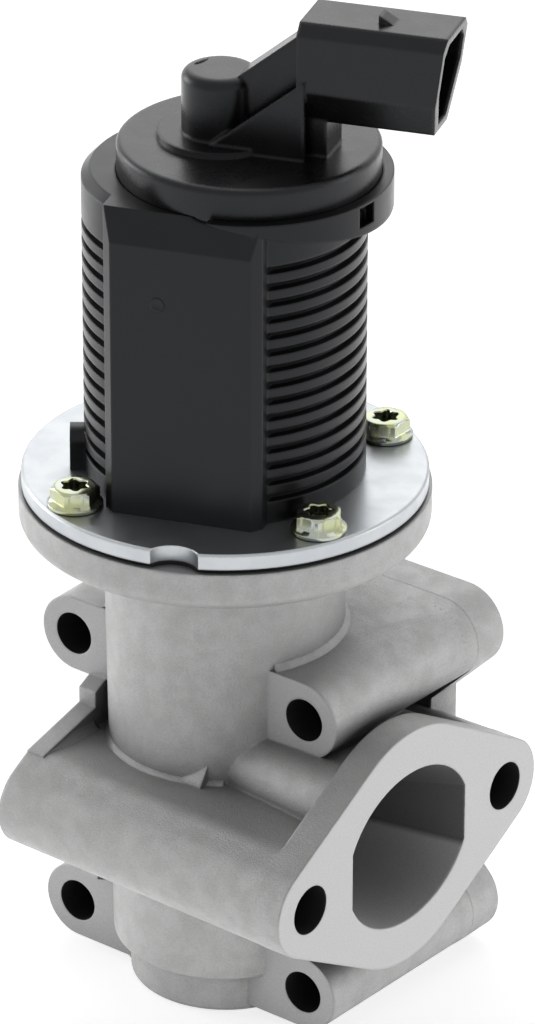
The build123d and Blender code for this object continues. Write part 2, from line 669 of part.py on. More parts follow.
def lower_seat():
    """Steel seat ring of the lower disc, wide enough for the upper disc to pass."""
    return ring(LOWER_BORE_R, LOWER_SEAT_BORE_R, LOWER_SEAT_FACE_Z, -MIDDLE_HALF_Z)


def stem_guide():
    """Bronze bush that guides the stem."""
    return ring(GUIDE_R, STEM_R + STEM_CLEARANCE, GUIDE_BOTTOM_Z, GUIDE_TOP_Z)


def deposit_shield():
    """Thin cup that keeps soot off the guide."""
    top = GUIDE_BOTTOM_Z + SHIELD_H
    return turned(
        (GUIDE_R, top),
        (SHIELD_R, top),
        (SHIELD_R, GUIDE_BOTTOM_Z),
        (SHIELD_R - SHIELD_T, GUIDE_BOTTOM_Z),
        (SHIELD_R - SHIELD_T, top - SHIELD_T),
        (GUIDE_R, top - SHIELD_T),
    )


def stem_seal():
    """Seal ring on top of the guide."""
    return ring(GUIDE_BOSS_R, STEM_R + STEM_CLEARANCE, GUIDE_TOP_Z, SEAL_TOP_Z)


def seal_cap():
    """Pressed cap that holds the seal on the guide's boss."""
    outer = GUIDE_BOSS_R + SEAL_CAP_T
    low = GUIDE_TOP_Z - SEAL_CAP_SKIRT
    return turned(
        (GUIDE_BOSS_R, low),
        (outer, low),
        (outer, SEAL_TOP_Z + SEAL_CAP_T),
        (STEM_PASSAGE_R, SEAL_TOP_Z + SEAL_CAP_T),
        (STEM_PASSAGE_R, SEAL_TOP_Z),
        (GUIDE_BOSS_R, SEAL_TOP_Z),
    )


def spring_washer():
    """Hardened washer under the return spring."""
    return ring(SPRING_WASHER_R, SPRING_WASHER_HOLE_R, SPRING_POCKET_FLOOR_Z, SPRING_LOW_Z)


def coil_spring(mean_r, wire_r, turns, low_z, high_z):
    """Round-wire compression spring between two faces."""
    low, high = low_z + wire_r, high_z - wire_r
    path = Pos(0, 0, low) * Helix(pitch=(high - low) / turns, height=high - low, radius=mean_r)
    start = Plane(origin=path @ 0, z_dir=path % 0)
    return sweep(start * Circle(wire_r), path=path)


def return_spring():
    """Spring that closes the valve."""
    return coil_spring(SPRING_MEAN_R, SPRING_WIRE_R, SPRING_TURNS, SPRING_LOW_Z, SPRING_HIGH_Z)


# ---------------------------------------------------------------- moving valve
def valve_stem():
    """Stem through both discs, the guide and the pole, up into the armature."""
    low = LOWER_SEAT_FACE_Z - DISC_T - DISC_HUB_H - STEM_TAIL
    high = ARMATURE_LOW_Z + STEM_SEAT_DEPTH
    stem = ring(STEM_R, 0, low, high)
    return chamfer(stem.edges().group_by(Axis.Z)[0], STEM_CHAMFER)


def disc(radius, face_z):
    """Valve disc that closes upwards on a seat face, with its hub below."""
    under = face_z - DISC_T
    return turned(
        (STEM_R, face_z),
        (radius - DISC_BEVEL / 2, face_z),
        (radius, face_z - DISC_BEVEL / 2),
        (radius - DISC_BEVEL, under),
        (DISC_HUB_R, under),
        (DISC_HUB_R - DISC_BEVEL, under - DISC_HUB_H),
        (STEM_R, under - DISC_HUB_H),
    )


def upper_disc():
    """Disc under the upper seat."""
    return disc(UPPER_DISC_R, UPPER_SEAT_FACE_Z)


def lower_disc():
    """Larger disc under the lower seat."""
    return disc(LOWER_DISC_R, LOWER_SEAT_FACE_Z)


def spring_retainer():
    """Dished plate fixed to the stem, pushed up by the return spring."""
    hub_top = RETAINER_TOP_Z + RETAINER_HUB_H
    return turned(
        (STEM_R, SPRING_HIGH_Z),
        (RETAINER_R, SPRING_HIGH_Z),
        (RETAINER_R, RETAINER_TOP_Z),
        (RETAINER_HUB_R, RETAINER_TOP_Z),
        (RETAINER_HUB_R - RETAINER_T / 2, hub_top),
        (STEM_R, hub_top),
    )


def armature():
    """Soft-iron plunger, pressed on the top of the stem."""
    plunger = ring(POLE_R, 0, ARMATURE_LOW_Z, ARMATURE_HIGH_Z)
    plunger = chamfer(plunger.edges().group_by(Axis.Z)[-1], ARMATURE_CHAMFER)
    return plunger - ring(STEM_R, 0, ARMATURE_LOW_Z, ARMATURE_LOW_Z + STEM_SEAT_DEPTH)


# ---------------------------------------------------------------- plate and screws
def plate_notch():
    """Half-round locating notch cut in the rim of plate and gasket."""
    cutter = Pos(PLATE_R + NOTCH_SINK, 0, PLATE_TOP_Z) * Cylinder(NOTCH_R, 2 * (PLATE_T + GASKET_T + CUT_PAST))
    return clocked(about_axis(NOTCH_ANGLE, cutter))


def mounting_plate():
    """Zinc-plated steel plate that carries the solenoid."""
    plate = ring(PLATE_R, PLATE_BORE_R, PLATE_BOTTOM_Z, PLATE_TOP_Z)
    plate = chamfer(plate.edges().group_by(Axis.Z)[-1].sort_by(SortBy.LENGTH)[-1], PLATE_CHAMFER)
    hole_r = SCREW_SHANK_R + SCREW_HOLE_CLEARANCE
    plate -= screw_holes(hole_r, PLATE_BOTTOM_Z - CUT_PAST, PLATE_TOP_Z + CUT_PAST)
    return plate - plate_notch()


def plate_gasket():
    """Gasket between plate and casting."""
    gasket = ring(GASKET_R, GASKET_BORE_R, DISC_TOP_Z, PLATE_BOTTOM_Z)
    hole_r = SCREW_SHANK_R + SCREW_HOLE_CLEARANCE
    gasket -= screw_holes(hole_r, DISC_TOP_Z - CUT_PAST, PLATE_TOP_Z)
    return gasket - plate_notch()


def plate_screw():
    """Flanged hexagon screw with a star recess, standing on the plate."""
    flange_top = PLATE_TOP_Z + SCREW_FLANGE_T
    head_top = PLATE_TOP_Z + SCREW_HEAD_H
    hexagon = RegularPolygon(SCREW_HEAD_AF / 2, 6, major_radius=False)
    head = extrude(Plane.XY.offset(flange_top) * hexagon, head_top - flange_top)
    rounding = Cone(SCREW_ROUNDING_LOW_R, SCREW_ROUNDING_HIGH_R, 2 * (head_top - flange_top))
    head &= Pos(0, 0, flange_top) * rounding
    screw = head + ring(SCREW_FLANGE_R, 0, PLATE_TOP_Z, flange_top)
    screw += ring(SCREW_SHANK_R, 0, PLATE_TOP_Z - SCREW_LENGTH, PLATE_TOP_Z)
    return screw - ring(SCREW_SOCKET_R, 0, head_top - SCREW_SOCKET_DEPTH, head_top + CUT_PAST)


def plate_screws():
    """All four plate screws."""
    return Compound(children=[clocked(place * plate_screw()) for place in screw_places()])


# ---------------------------------------------------------------- solenoid
def pole_core():
    """Fixed pole under the armature, with a foot on the plate."""
    foot_top = PLATE_TOP_Z + POLE_FOOT_T
    return turned(
        (STEM_PASSAGE_R, PLATE_TOP_Z),
        (POLE_FOOT_R, PLATE_TOP_Z),
        (POLE_FOOT_R, foot_top),
        (POLE_R, foot_top),
        (POLE_R, PLATE_TOP_Z + POLE_H),
        (STEM_PASSAGE_R, PLATE_TOP_Z + POLE_H),
    )


def guide_tube():
    """Non-magnetic tube that the armature slides in."""
    low = PLATE_TOP_Z + POLE_FOOT_T
    return ring(BOBBIN_R, GUIDE_TUBE_R, low, GUIDE_TUBE_TOP_Z)


def coil_bobbin():
    """Plastic bobbin of the winding."""
    low = PLATE_TOP_Z + POLE_FOOT_T
    high = PLATE_TOP_Z + BOBBIN_TOP
    hub = BOBBIN_R + BOBBIN_T
    return turned(
        (BOBBIN_R, low),
        (BOBBIN_FLANGE_R, low),
        (BOBBIN_FLANGE_R, low + BOBBIN_FLANGE_T),
        (hub, low + BOBBIN_FLANGE_T),
        (hub, high - BOBBIN_FLANGE_T),
        (BOBBIN_FLANGE_R, high - BOBBIN_FLANGE_T),
        (BOBBIN_FLANGE_R, high),
        (BOBBIN_R, high),
    )


def coil_winding():
    """Copper winding, as one wound body."""
    low = PLATE_TOP_Z + POLE_FOOT_T + BOBBIN_FLANGE_T
    return ring(WINDING_R, BOBBIN_R + BOBBIN_T, low, PLATE_TOP_Z + BOBBIN_TOP - BOBBIN_FLANGE_T)


def yoke_can():
    """Steel can that carries the flux round the winding."""
    return ring(YOKE_R, YOKE_R - YOKE_WALL, PLATE_TOP_Z, PLATE_TOP_Z + YOKE_TOP)


def flux_plate():
    """Upper pole plate inside the can."""
    return ring(YOKE_R - YOKE_WALL, BOBBIN_R, PLATE_TOP_Z + BOBBIN_TOP, PLATE_TOP_Z + YOKE_TOP)


def panel_block():
    """Raised flat panel down the front of the moulding, bevelled at its top and sides."""
    top = PLATE_TOP_Z + SHELL_TOP
    front = -PANEL_DEPTH
    side = make_face(
        Polyline(
            (0, PLATE_TOP_Z),
            (front, PLATE_TOP_Z),
            (front, top - PANEL_TOP_SLOPE),
            (front + PANEL_SLOPE_DEPTH, top),
            (0, top),
            close=True,
        )
    )
    panel = extrude(Plane.YZ * side, PANEL_HALF_WIDTH, both=True)
    upright_edges = panel.edges().filter_by(Axis.Z).group_by(Axis.Y)[0]
    return chamfer(upright_edges, PANEL_SIDE_BEVEL)


def collar():
    """Eccentric collar round the cover; its lower edge drops towards the socket."""
    top = PLATE_TOP_Z + SHELL_TOP
    body = Pos(LID_OFFSET, 0, 0) * ring(COLLAR_R, 0, PLATE_TOP_Z + HEAD_FLOOR, top)
    edge = Pos(COLLAR_EDGE_X, 0, top - COLLAR_EDGE_DROP) * Rot(0, COLLAR_TILT, 0)
    size = 4 * COLLAR_R
    return body - edge * Pos(0, 0, -size / 2) * Box(size, size, size)


def clip_window():
    """Cutter of the snap window in the collar."""
    top = PLATE_TOP_Z + SHELL_TOP
    low, high = top - CLIP_WINDOW_LOW, top - CLIP_WINDOW_HIGH
    half = CLIP_WINDOW_WIDTH / 2
    cutter = block(LID_R + LID_SLIP, COLLAR_R + CUT_PAST, -half, half, low, high)
    return Pos(LID_OFFSET, 0, 0) * about_axis(CLIP_WINDOW_ANGLE, cutter)


def solenoid_shell():
    """Black moulding round the can: fins, a flat panel and the eccentric collar."""
    foot = PLATE_TOP_Z
    top = PLATE_TOP_Z + SHELL_TOP
    comb = [(0, foot), (FIN_R, foot)]
    for index in range(FIN_COUNT):
        low = foot + FINS_START + index * FIN_PITCH
        high = low + FIN_GAP
        comb += [(FIN_R, low), (FIN_ROOT_R, low), (FIN_ROOT_R, high), (FIN_R, high)]
    comb += [(FIN_R, top - SHELL_EDGE_R), (FIN_R - SHELL_EDGE_R, top), (0, top)]
    shell = turned(*comb)
    front = block(-PANEL_HALF_WIDTH, PANEL_HALF_WIDTH, -FIN_R - CUT_PAST, -YOKE_R / 2, foot, top)
    shell = shell - front + panel_block() + collar()
    half = FOOT_LUG_WIDTH / 2
    lug = block(FIN_ROOT_R - FOOT_LUG_WIDTH / 2, FOOT_LUG_REACH, -half, half, foot, foot + FOOT_LUG_HEIGHT)
    lug = fillet(lug.edges().filter_by(Axis.X).group_by(Axis.Z)[-1], FOOT_LUG_ROUND)
    shell += about_axis(FOOT_LUG_ANGLE, lug)
    shell -= clip_window()
    pocket_low = foot + HEAD_FLOOR
    shell -= Pos(LID_OFFSET, 0, 0) * ring(LID_R + LID_SLIP, 0, top - LID_SEAT_DEPTH, top + CUT_PAST)
    shell -= Pos(LID_OFFSET, 0, 0) * ring(HEAD_POCKET_R, 0, pocket_low, top)
    shell -= ring(YOKE_R + SHELL_SLIP, 0, foot - CUT_PAST, foot + YOKE_TOP + SHELL_SLIP)
    shell -= ring(BOBBIN_R + SHELL_SLIP, 0, foot, pocket_low + CUT_PAST)
    return clocked(shell)


def socket_outline(inset):
    """Plug socket's outline in (y, z), inset by a wall thickness."""
    near, far = SOCKET_NEAR_Y + inset, SOCKET_FAR_Y - inset
    low, high = PLATE_TOP_Z + SOCKET_BOTTOM + inset, PLATE_TOP_Z + SOCKET_TOP - inset
    corner = SOCKET_TOP_CORNER
    return make_face(
        Polyline(
            (near, high - corner),
            (near + corner, high),
            (far - corner, high),
            (far, high - corner),
            (far, low + SOCKET_FAR_CHAMFER[1]),
            (far - SOCKET_FAR_CHAMFER[0], low),
            (near + SOCKET_NEAR_CHAMFER[0], low),
            (near, low + SOCKET_NEAR_CHAMFER[1]),
            close=True,
        )
    )


def plug_socket():
    """Walls of the plug socket, its mouth leaning back, with the latch ramp on top."""
    high = PLATE_TOP_Z + SOCKET_TOP
    socket = along_x(socket_outline(0), SOCKET_START_X, SOCKET_END_X)
    socket -= along_x(socket_outline(SOCKET_WALL), SOCKET_END_X - SOCKET_DEPTH, SOCKET_END_X)
    lean = Pos(SOCKET_END_X, 0, high) * Rot(0, SOCKET_TILT, 0)
    size = 3 * SOCKET_HEIGHT
    socket -= lean * Pos(size / 2, 0, 0) * Box(size, size, size)
    ramp = make_face(
        Polyline(
            (LATCH_X, high - SOCKET_WALL / 2),
            (LATCH_X, high + LATCH_HEIGHT),
            (LATCH_X + LATCH_LENGTH, high - SOCKET_WALL / 2),
            close=True,
        )
    )
    return socket + extrude(Plane.XZ * ramp, LATCH_WIDTH / 2, both=True)


def wire_channel():
    """Sloped channel, pedestal and thin front web that carry the socket."""
    base = PLATE_TOP_Z + LID_TOP - LID_EDGE_R
    high = PLATE_TOP_Z + SOCKET_TOP
    end = SOCKET_START_X + SOCKET_WALL
    channel = make_face(
        Polyline(
            (CHANNEL_START_X, base),
            (CHANNEL_START_X, TOWER_TOP_Z),
            (end, high - CHANNEL_TOP_DROP),
            (end, base),
            close=True,
        )
    )
    carrier = extrude(Plane.XZ * channel, CHANNEL_HALF, both=True)
    pedestal_high = PLATE_TOP_Z + SOCKET_BOTTOM + SOCKET_WALL
    carrier += block(
        SOCKET_START_X, SOCKET_START_X + PEDESTAL_LENGTH, -PEDESTAL_HALF, PEDESTAL_HALF, base, pedestal_high
    )
    web = make_face(
        Polyline(
            (FRONT_WEB_START_X, base),
            (end, PLATE_TOP_Z + SOCKET_BOTTOM + FRONT_WEB_RISE),
            (end, base),
            close=True,
        )
    )
    web_low = SOCKET_NEAR_Y + FRONT_WEB_T / 2
    carrier += extrude(Plane.XZ.offset(-web_low) * web, FRONT_WEB_T)
    return carrier


def sensor_cover():
    """Lid of the solenoid head: sensor tower over the valve axis and plug socket beside it."""
    lid_top = PLATE_TOP_Z + LID_TOP
    seat = PLATE_TOP_Z + SHELL_TOP - LID_SEAT_DEPTH
    tower_place = Pos(TOWER_OFFSET, 0, 0)
    lid = ring(LID_R, 0, seat, lid_top)
    cover = Pos(LID_OFFSET, 0, 0) * fillet(lid.edges().group_by(Axis.Z)[-1], LID_EDGE_R)
    tower = ring(TOWER_R, 0, seat, TOWER_TOP_Z)
    cover += tower_place * fillet(tower.edges().group_by(Axis.Z)[-1], TOWER_ROUND)
    cover += tower_place * ring(TOWER_FOOT_R, 0, seat, lid_top + TOWER_FOOT_H)
    cover += wire_channel() + plug_socket()
    below = seat - CUT_PAST
    sleeve = tower_place * ring(SENSOR_SLEEVE_R, 0, below, lid_top)
    cover -= ring(LID_POCKET_R, 0, below, lid_top - LID_ROOF) - sleeve
    cover -= tower_place * ring(SENSOR_BORE_R, 0, below, SENSOR_BORE_TOP_Z)
    cover -= [seal_ring(), track_card(), *pins()]
    return clocked(cover)


def seal_ring():
    """Square ring in the groove under the cover."""
    seat = PLATE_TOP_Z + SHELL_TOP - LID_SEAT_DEPTH
    seal = ring(COVER_SEAL_R, COVER_SEAL_R - COVER_SEAL_W, seat, seat + COVER_SEAL_T)
    return Pos(LID_OFFSET, 0, 0) * seal


def cover_seal():
    """Rubber seal between the sensor cover and the solenoid moulding."""
    return clocked(seal_ring())


def track_card():
    """Card with the resistive track, upright beside the sensor bore."""
    low_x, half = TRACK_FACE_X, TRACK_W / 2
    return block(low_x, low_x + TRACK_T, -half, half, SENSOR_BORE_TOP_Z - TRACK_H, SENSOR_BORE_TOP_Z)


def sensor_track():
    """Track card of the position sensor."""
    return clocked(track_card())


def pins():
    """Terminal blades in a row up the floor of the plug socket."""
    floor_x = SOCKET_END_X - SOCKET_DEPTH
    middle_y = (SOCKET_NEAR_Y + SOCKET_FAR_Y) / 2
    middle_z = PLATE_TOP_Z + (SOCKET_BOTTOM + SOCKET_TOP) / 2
    row = []
    for index in range(PIN_COUNT):
        z = middle_z + (index - (PIN_COUNT - 1) / 2) * PIN_PITCH
        low_y, high_y = middle_y - PIN_W / 2, middle_y + PIN_W / 2
        low_z, high_z = z - PIN_T / 2, z + PIN_T / 2
        row.append(block(floor_x - PIN_ROOT, floor_x + PIN_REACH, low_y, high_y, low_z, high_z))
    return row


def terminal_pins():
    """Five tinned blades that the vehicle's plug pushes onto."""
    return Compound(children=[clocked(pin) for pin in pins()])


def sensor_plunger():
    """Plunger of the position sensor, resting on the armature, with a flat for the wiper."""
    shoulder = PLUNGER_SHOULDER_Z
    top = PLUNGER_TOP_Z
    radius = SENSOR_BORE_R - PLUNGER_SLIP
    plunger = turned(
        (0, ARMATURE_HIGH_Z),
        (PLUNGER_TIP_R, ARMATURE_HIGH_Z),
        (PLUNGER_TIP_R, shoulder),
        (radius, shoulder),
        (radius, top),
        (0, top),
    )
    plunger = Pos(TOWER_OFFSET, 0, 0) * plunger
    flat = block(PLUNGER_FLAT_X, TOWER_OFFSET + SENSOR_BORE_R, -radius, radius, shoulder, top)
    return clocked(plunger - flat)


def sensor_wiper():
    """Contact block on the plunger's flat."""
    high, half = PLUNGER_TOP_Z, WIPER_W / 2
    return clocked(
        block(PLUNGER_FLAT_X, PLUNGER_FLAT_X + WIPER_DEPTH, -half, half, high - WIPER_H, high)
    )


def sensor_spring():
    """Light spring that keeps the plunger on the armature."""
    spring = coil_spring(
        SENSOR_SPRING_R, SENSOR_SPRING_WIRE_R, SENSOR_SPRING_TURNS, PLUNGER_TOP_Z, SENSOR_BORE_TOP_Z
    )
    return clocked(Pos(TOWER_OFFSET, 0, 0) * spring)


PARTS = (
    valve_body,
    bottom_plug,
    upper_seat,
    lower_seat,
    stem_guide,
    deposit_shield,
    stem_seal,
    seal_cap,
    spring_washer,
    return_spring,
    valve_stem,
    upper_disc,
    lower_disc,
    spring_retainer,
    armature,
    plate_gasket,
    mounting_plate,
    plate_screws,
    pole_core,
    guide_tube,
    coil_bobbin,
    coil_winding,
    yoke_can,
    flux_plate,
    solenoid_shell,
    sensor_cover,
    cover_seal,
    sensor_track,
    terminal_pins,
    sensor_plunger,
    sensor_wiper,
    sensor_spring,
)

os.makedirs("parts", exist_ok=True)
for make in PARTS:
    piece = make()
    export_step(piece, f"parts/{make.__name__}.step")
    print(make.__name__, "solids", len(piece.solids()), "volume", round(piece.volume))
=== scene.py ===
"""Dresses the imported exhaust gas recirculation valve: finishes for every solid, detailed plate screws
and a plain studio.  Metres, +Z up the valve axis, +X out of the side port, +Y out of the rear face.
"""
from __future__ import annotations

import logging
import math
from dataclasses import dataclass
from enum import Enum
from typing import Iterable, Sequence

import bmesh
import bpy
import numpy as np
from mathutils import Matrix, Vector


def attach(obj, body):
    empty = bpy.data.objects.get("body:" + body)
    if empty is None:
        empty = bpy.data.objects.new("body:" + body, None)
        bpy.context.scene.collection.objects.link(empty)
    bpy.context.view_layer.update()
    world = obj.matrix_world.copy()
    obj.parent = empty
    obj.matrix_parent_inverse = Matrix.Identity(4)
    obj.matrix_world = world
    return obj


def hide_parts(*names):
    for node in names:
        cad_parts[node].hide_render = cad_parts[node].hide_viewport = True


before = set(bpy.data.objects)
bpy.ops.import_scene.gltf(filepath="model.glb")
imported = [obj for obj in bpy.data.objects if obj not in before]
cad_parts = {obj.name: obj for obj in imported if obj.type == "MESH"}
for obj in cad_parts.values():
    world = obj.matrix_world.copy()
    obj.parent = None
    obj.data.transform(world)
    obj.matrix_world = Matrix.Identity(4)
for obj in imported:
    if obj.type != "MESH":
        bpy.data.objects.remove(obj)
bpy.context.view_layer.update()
LOG = logging.getLogger("egr_valve")
MM = 0.001
FACE_TOLERANCE = 0.05 * MM  # how far off its level a flat face may lie
FACE_COSINE = 0.999
SHARP_ANGLE = math.radians(34.0)
WELD = 0.001 * MM  # points nearer than this are one
UNDER_FADE = 1.5 * MM

Colour = tuple[float, float, float]


class Output(Enum):
    """Outputs of the shared shader groups."""

    HEIGHT = "Height"
    MOTTLE = "Mottle"
    SPECKLE = "Speckle"
    EDGE = "Edge"
    OPENNESS = "Openness"
    MASK = "Mask"


class Axis(Enum):
    """A direction of the valve's own frame."""

    X = 0
    Y = 1
    Z = 2


# ------------------------------------------------------------------------------------------ shader tools
class Graph:
    """A shader node tree with short calls for the nodes that the finishes are made of."""

    def __init__(self, tree: bpy.types.NodeTree) -> None:
        """Keeps the tree to build in."""
        self.tree = tree
        self.column = 0

    def node(self, kind: str, **settings: object) -> bpy.types.Node:
        """Adds a node.

        Args:
            kind: Blender's identifier of the node.
            settings: properties to set on it.
        Returns:
            The new node.
        """
        new = self.tree.nodes.new(kind)
        new.location = (180 * self.column, 0)
        self.column += 1
        for key, value in settings.items():
            setattr(new, key, value)
        return new

    def feed(self, socket: bpy.types.NodeSocket, value: object) -> None:
        """Links a socket or sets its value.

        Args:
            socket: input to feed.
            value: an output socket, a number, or a sequence of numbers.
        """
        if isinstance(value, bpy.types.NodeSocket):
            self.tree.links.new(value, socket)
        elif isinstance(value, (tuple, list)) and socket.type == "RGBA" and len(value) == 3:
            socket.default_value = (*value, 1.0)
        else:
            socket.default_value = value

    def maths(self, operation: str, *values: object, clamp: bool = False) -> bpy.types.NodeSocket:
        """Adds a Math node.

        Args:
            operation: what it works out.
            values: its inputs in order.
            clamp: whether the result stays within 0 and 1.
        Returns:
            Its output.
        """
        new = self.node("ShaderNodeMath", operation=operation, use_clamp=clamp)
        for socket, value in zip(new.inputs, values):
            self.feed(socket, value)
        return new.outputs[0]

    def span(
        self, value: object, low: float, high: float, out_low: object = 0.0, out_high: object = 1.0
    ) -> bpy.types.NodeSocket:
        """Smoothly maps a range onto another.

        Args:
            value: what is mapped.
            low: value that gives out_low.
            high: value that gives out_high.
            out_low: result at low.
            out_high: result at high.
        Returns:
            The mapped output.
        """
        new = self.node("ShaderNodeMapRange", interpolation_type="SMOOTHSTEP", clamp=True)
        for index, entry in enumerate((value, low, high, out_low, out_high)):
            self.feed(new.inputs[index], entry)
        return new.outputs[0]

    def mix(self, factor: object, first: object, second: object) -> bpy.types.NodeSocket:
        """Blends two colours.

        Args:
            factor: 0 gives the first, 1 the second.
            first: a colour or an output.
            second: likewise.
        Returns:
            The mixed colour.
        """
        new = self.node("ShaderNodeMix", data_type="RGBA", clamp_factor=True)
        self.feed(new.inputs[0], factor)
        self.feed(new.inputs[6], first)
        self.feed(new.inputs[7], second)
        return new.outputs[2]

    def dim(self, colour: object, share: object) -> bpy.types.NodeSocket:
        """Darkens a colour.

        Args:
            colour: the output to darken.
            share: what is left of it.
        Returns:
            The darker colour.
        """
        new = self.node("ShaderNodeVectorMath", operation="SCALE")
        self.feed(new.inputs[0], colour)
        self.feed(new.inputs["Scale"], share)
        return new.outputs[0]

    def noise(
        self, place: object, scale: object, detail: float = 2.0, rough: float = 0.5
    ) -> bpy.types.NodeSocket:
        """Adds a noise pattern.

        Args:
            place: where it is read.
            scale: its grains per metre.
            detail: its octaves.
            rough: how strong the finer octaves are.
        Returns:
            Its value.
        """
        new = self.node("ShaderNodeTexNoise")
        self.feed(new.inputs["Vector"], place)
        self.feed(new.inputs["Scale"], scale)
        self.feed(new.inputs["Detail"], detail)
        self.feed(new.inputs["Roughness"], rough)
        return new.outputs["Fac"]

    def place(self) -> bpy.types.NodeSocket:
        """Returns Object coordinates."""
        return self.node("ShaderNodeTexCoord").outputs["Object"]

    def parts(self, vector: object) -> tuple[bpy.types.NodeSocket, ...]:
        """Splits a vector.

        Args:
            vector: the output to split.
        Returns:
            Its X, Y and Z.
        """
        new = self.node("ShaderNodeSeparateXYZ")
        self.feed(new.inputs[0], vector)
        return tuple(new.outputs)


def shared_group(
    name: str, inputs: Sequence[tuple[str, float]], outputs: Sequence[Output]
) -> tuple[bpy.types.NodeTree, Graph, bpy.types.Node, bpy.types.Node]:
    """Starts a shader node group with named float sockets.

    Args:
        name: the group's name.
        inputs: names and default values of its inputs.
        outputs: its outputs.
    Returns:
        The group, its graph, its input node and its output node.
    """
    tree = bpy.data.node_groups.new(name, "ShaderNodeTree")
    for label, value in inputs:
        socket = tree.interface.new_socket(label, in_out="INPUT", socket_type="NodeSocketFloat")
        socket.default_value = value
    for output in outputs:
        tree.interface.new_socket(output.value, in_out="OUTPUT", socket_type="NodeSocketFloat")
    graph = Graph(tree)
    return tree, graph, graph.node("NodeGroupInput"), graph.node("NodeGroupOutput")


def grain_group() -> bpy.types.NodeTree:
    """Skin grain: fine pebbles, a broad mottle and a fine speckle.

    Height is the sum of a fine noise and half of one three times finer; Mottle is a slow noise
    stretched to the whole 0 to 1 range; Speckle is the finer noise, stretched likewise.

    Returns:
        The group.
    """
    tree, graph, given, out = shared_group(
        "surface_grain",
        (("Grain per metre", 2200.0), ("Mottle per metre", 90.0)),
        (Output.HEIGHT, Output.MOTTLE, Output.SPECKLE),
    )
    place = graph.place()
    pebble = graph.noise(place, given.outputs[0], 3.0, 0.6)
    finer = graph.noise(place, graph.maths("MULTIPLY", given.outputs[0], 3.1), 2.0, 0.5)
    graph.feed(out.inputs[0], graph.maths("MULTIPLY_ADD", finer, 0.5, pebble))
    broad = graph.noise(place, given.outputs[1], 4.0, 0.62)
    graph.feed(out.inputs[1], graph.span(broad, 0.32, 0.68))
    graph.feed(out.inputs[2], graph.span(graph.maths("ADD", pebble, finer), 0.75, 1.25))
    return tree


def edge_group() -> bpy.types.NodeTree:
    """Outer edges and corners: where edges are lightened, partly as wear and partly as painted highlight,
    and where painted shade gathers in corners.

    Edge is one minus the dot product of the true normal and one rounded over the given radius,
    times the gain, broken up by a noise and left out of hollows.  Openness is the share of open
    surroundings within the reach.

    Returns:
        The group.
    """
    tree, graph, given, out = shared_group(
        "edge_wear_highlight_and_shade",
        (("Radius", 0.0006), ("Gain", 6.0), ("Reach", 0.006), ("Breakup per metre", 900.0)),
        (Output.EDGE, Output.OPENNESS),
    )
    rounded = graph.node("ShaderNodeBevel", samples=4)
    graph.feed(rounded.inputs["Radius"], given.outputs[0])
    true_normal = graph.node("ShaderNodeNewGeometry").outputs["True Normal"]
    dot = graph.node("ShaderNodeVectorMath", operation="DOT_PRODUCT")
    graph.feed(dot.inputs[0], rounded.outputs[0])
    graph.feed(dot.inputs[1], true_normal)
    bend = graph.maths("SUBTRACT", 1.0, dot.outputs["Value"], clamp=True)
    broken = graph.span(graph.noise(graph.place(), given.outputs[3], 3.0, 0.6), 0.35, 0.6, 0.35, 1.0)
    strong = graph.maths("MULTIPLY", bend, given.outputs[1])
    occlusion = graph.node("ShaderNodeAmbientOcclusion", samples=6)
    graph.feed(occlusion.inputs["Distance"], given.outputs[2])
    openness = occlusion.outputs["AO"]
    outer = graph.maths("MULTIPLY", broken, graph.span(openness, 0.6, 0.9))
    graph.feed(out.inputs[0], graph.maths("MULTIPLY", strong, outer, clamp=True))
    graph.feed(out.inputs[1], openness)
    return tree


def face_group() -> bpy.types.NodeTree:
    """Flat faces: where one coordinate is at a level and the normal points exactly that way.

    Mask is the product of two steps, one on the distance from the level and one on the normal.

    Returns:
        The group.
    """
    tree, graph, given, out = shared_group(
        "flat_face", (("Along", 0.0), ("Level", 0.0), ("Facing", 0.0)), (Output.MASK,)
    )
    off_level = graph.maths("ABSOLUTE", graph.maths("SUBTRACT", given.outputs[0], given.outputs[1]))
    at_level = graph.maths("LESS_THAN", off_level, FACE_TOLERANCE)
    flat = graph.maths("GREATER_THAN", given.outputs[2], FACE_COSINE)
    graph.feed(out.inputs[0], graph.maths("MULTIPLY", at_level, flat))
    return tree


def bore_group() -> bpy.types.NodeTree:
    """Round or oval holes: everything nearer to an axis than the hole's wall.

    Mask is where the sum of the squares of both distances, each over its half axis, is under one.

    Returns:
        The group.
    """
    tree, graph, given, out = shared_group(
        "bore", (("Across", 0.0), ("Up", 0.0), ("Half across", 1.0), ("Half up", 1.0)), (Output.MASK,)
    )
    shares = [graph.maths("DIVIDE", given.outputs[i], given.outputs[i + 2]) for i in (0, 1)]
    squares = [graph.maths("MULTIPLY", share, share) for share in shares]
    graph.feed(out.inputs[0], graph.maths("LESS_THAN", graph.maths("ADD", *squares), 1.0))
    return tree


GRAIN = grain_group()
EDGE = edge_group()
FACE = face_group()
BORE = bore_group()


# ------------------------------------------------------------------------------------------ zones
@dataclass(frozen=True)
class Zone:
    """Part of a surface with its own colour, roughness and share of the grain."""

    colour: Colour
    roughness: float
    grain_share: float

    def mask(self, graph: Graph) -> bpy.types.NodeSocket:
        """Returns where the zone is, from 0 to 1."""
        raise NotImplementedError


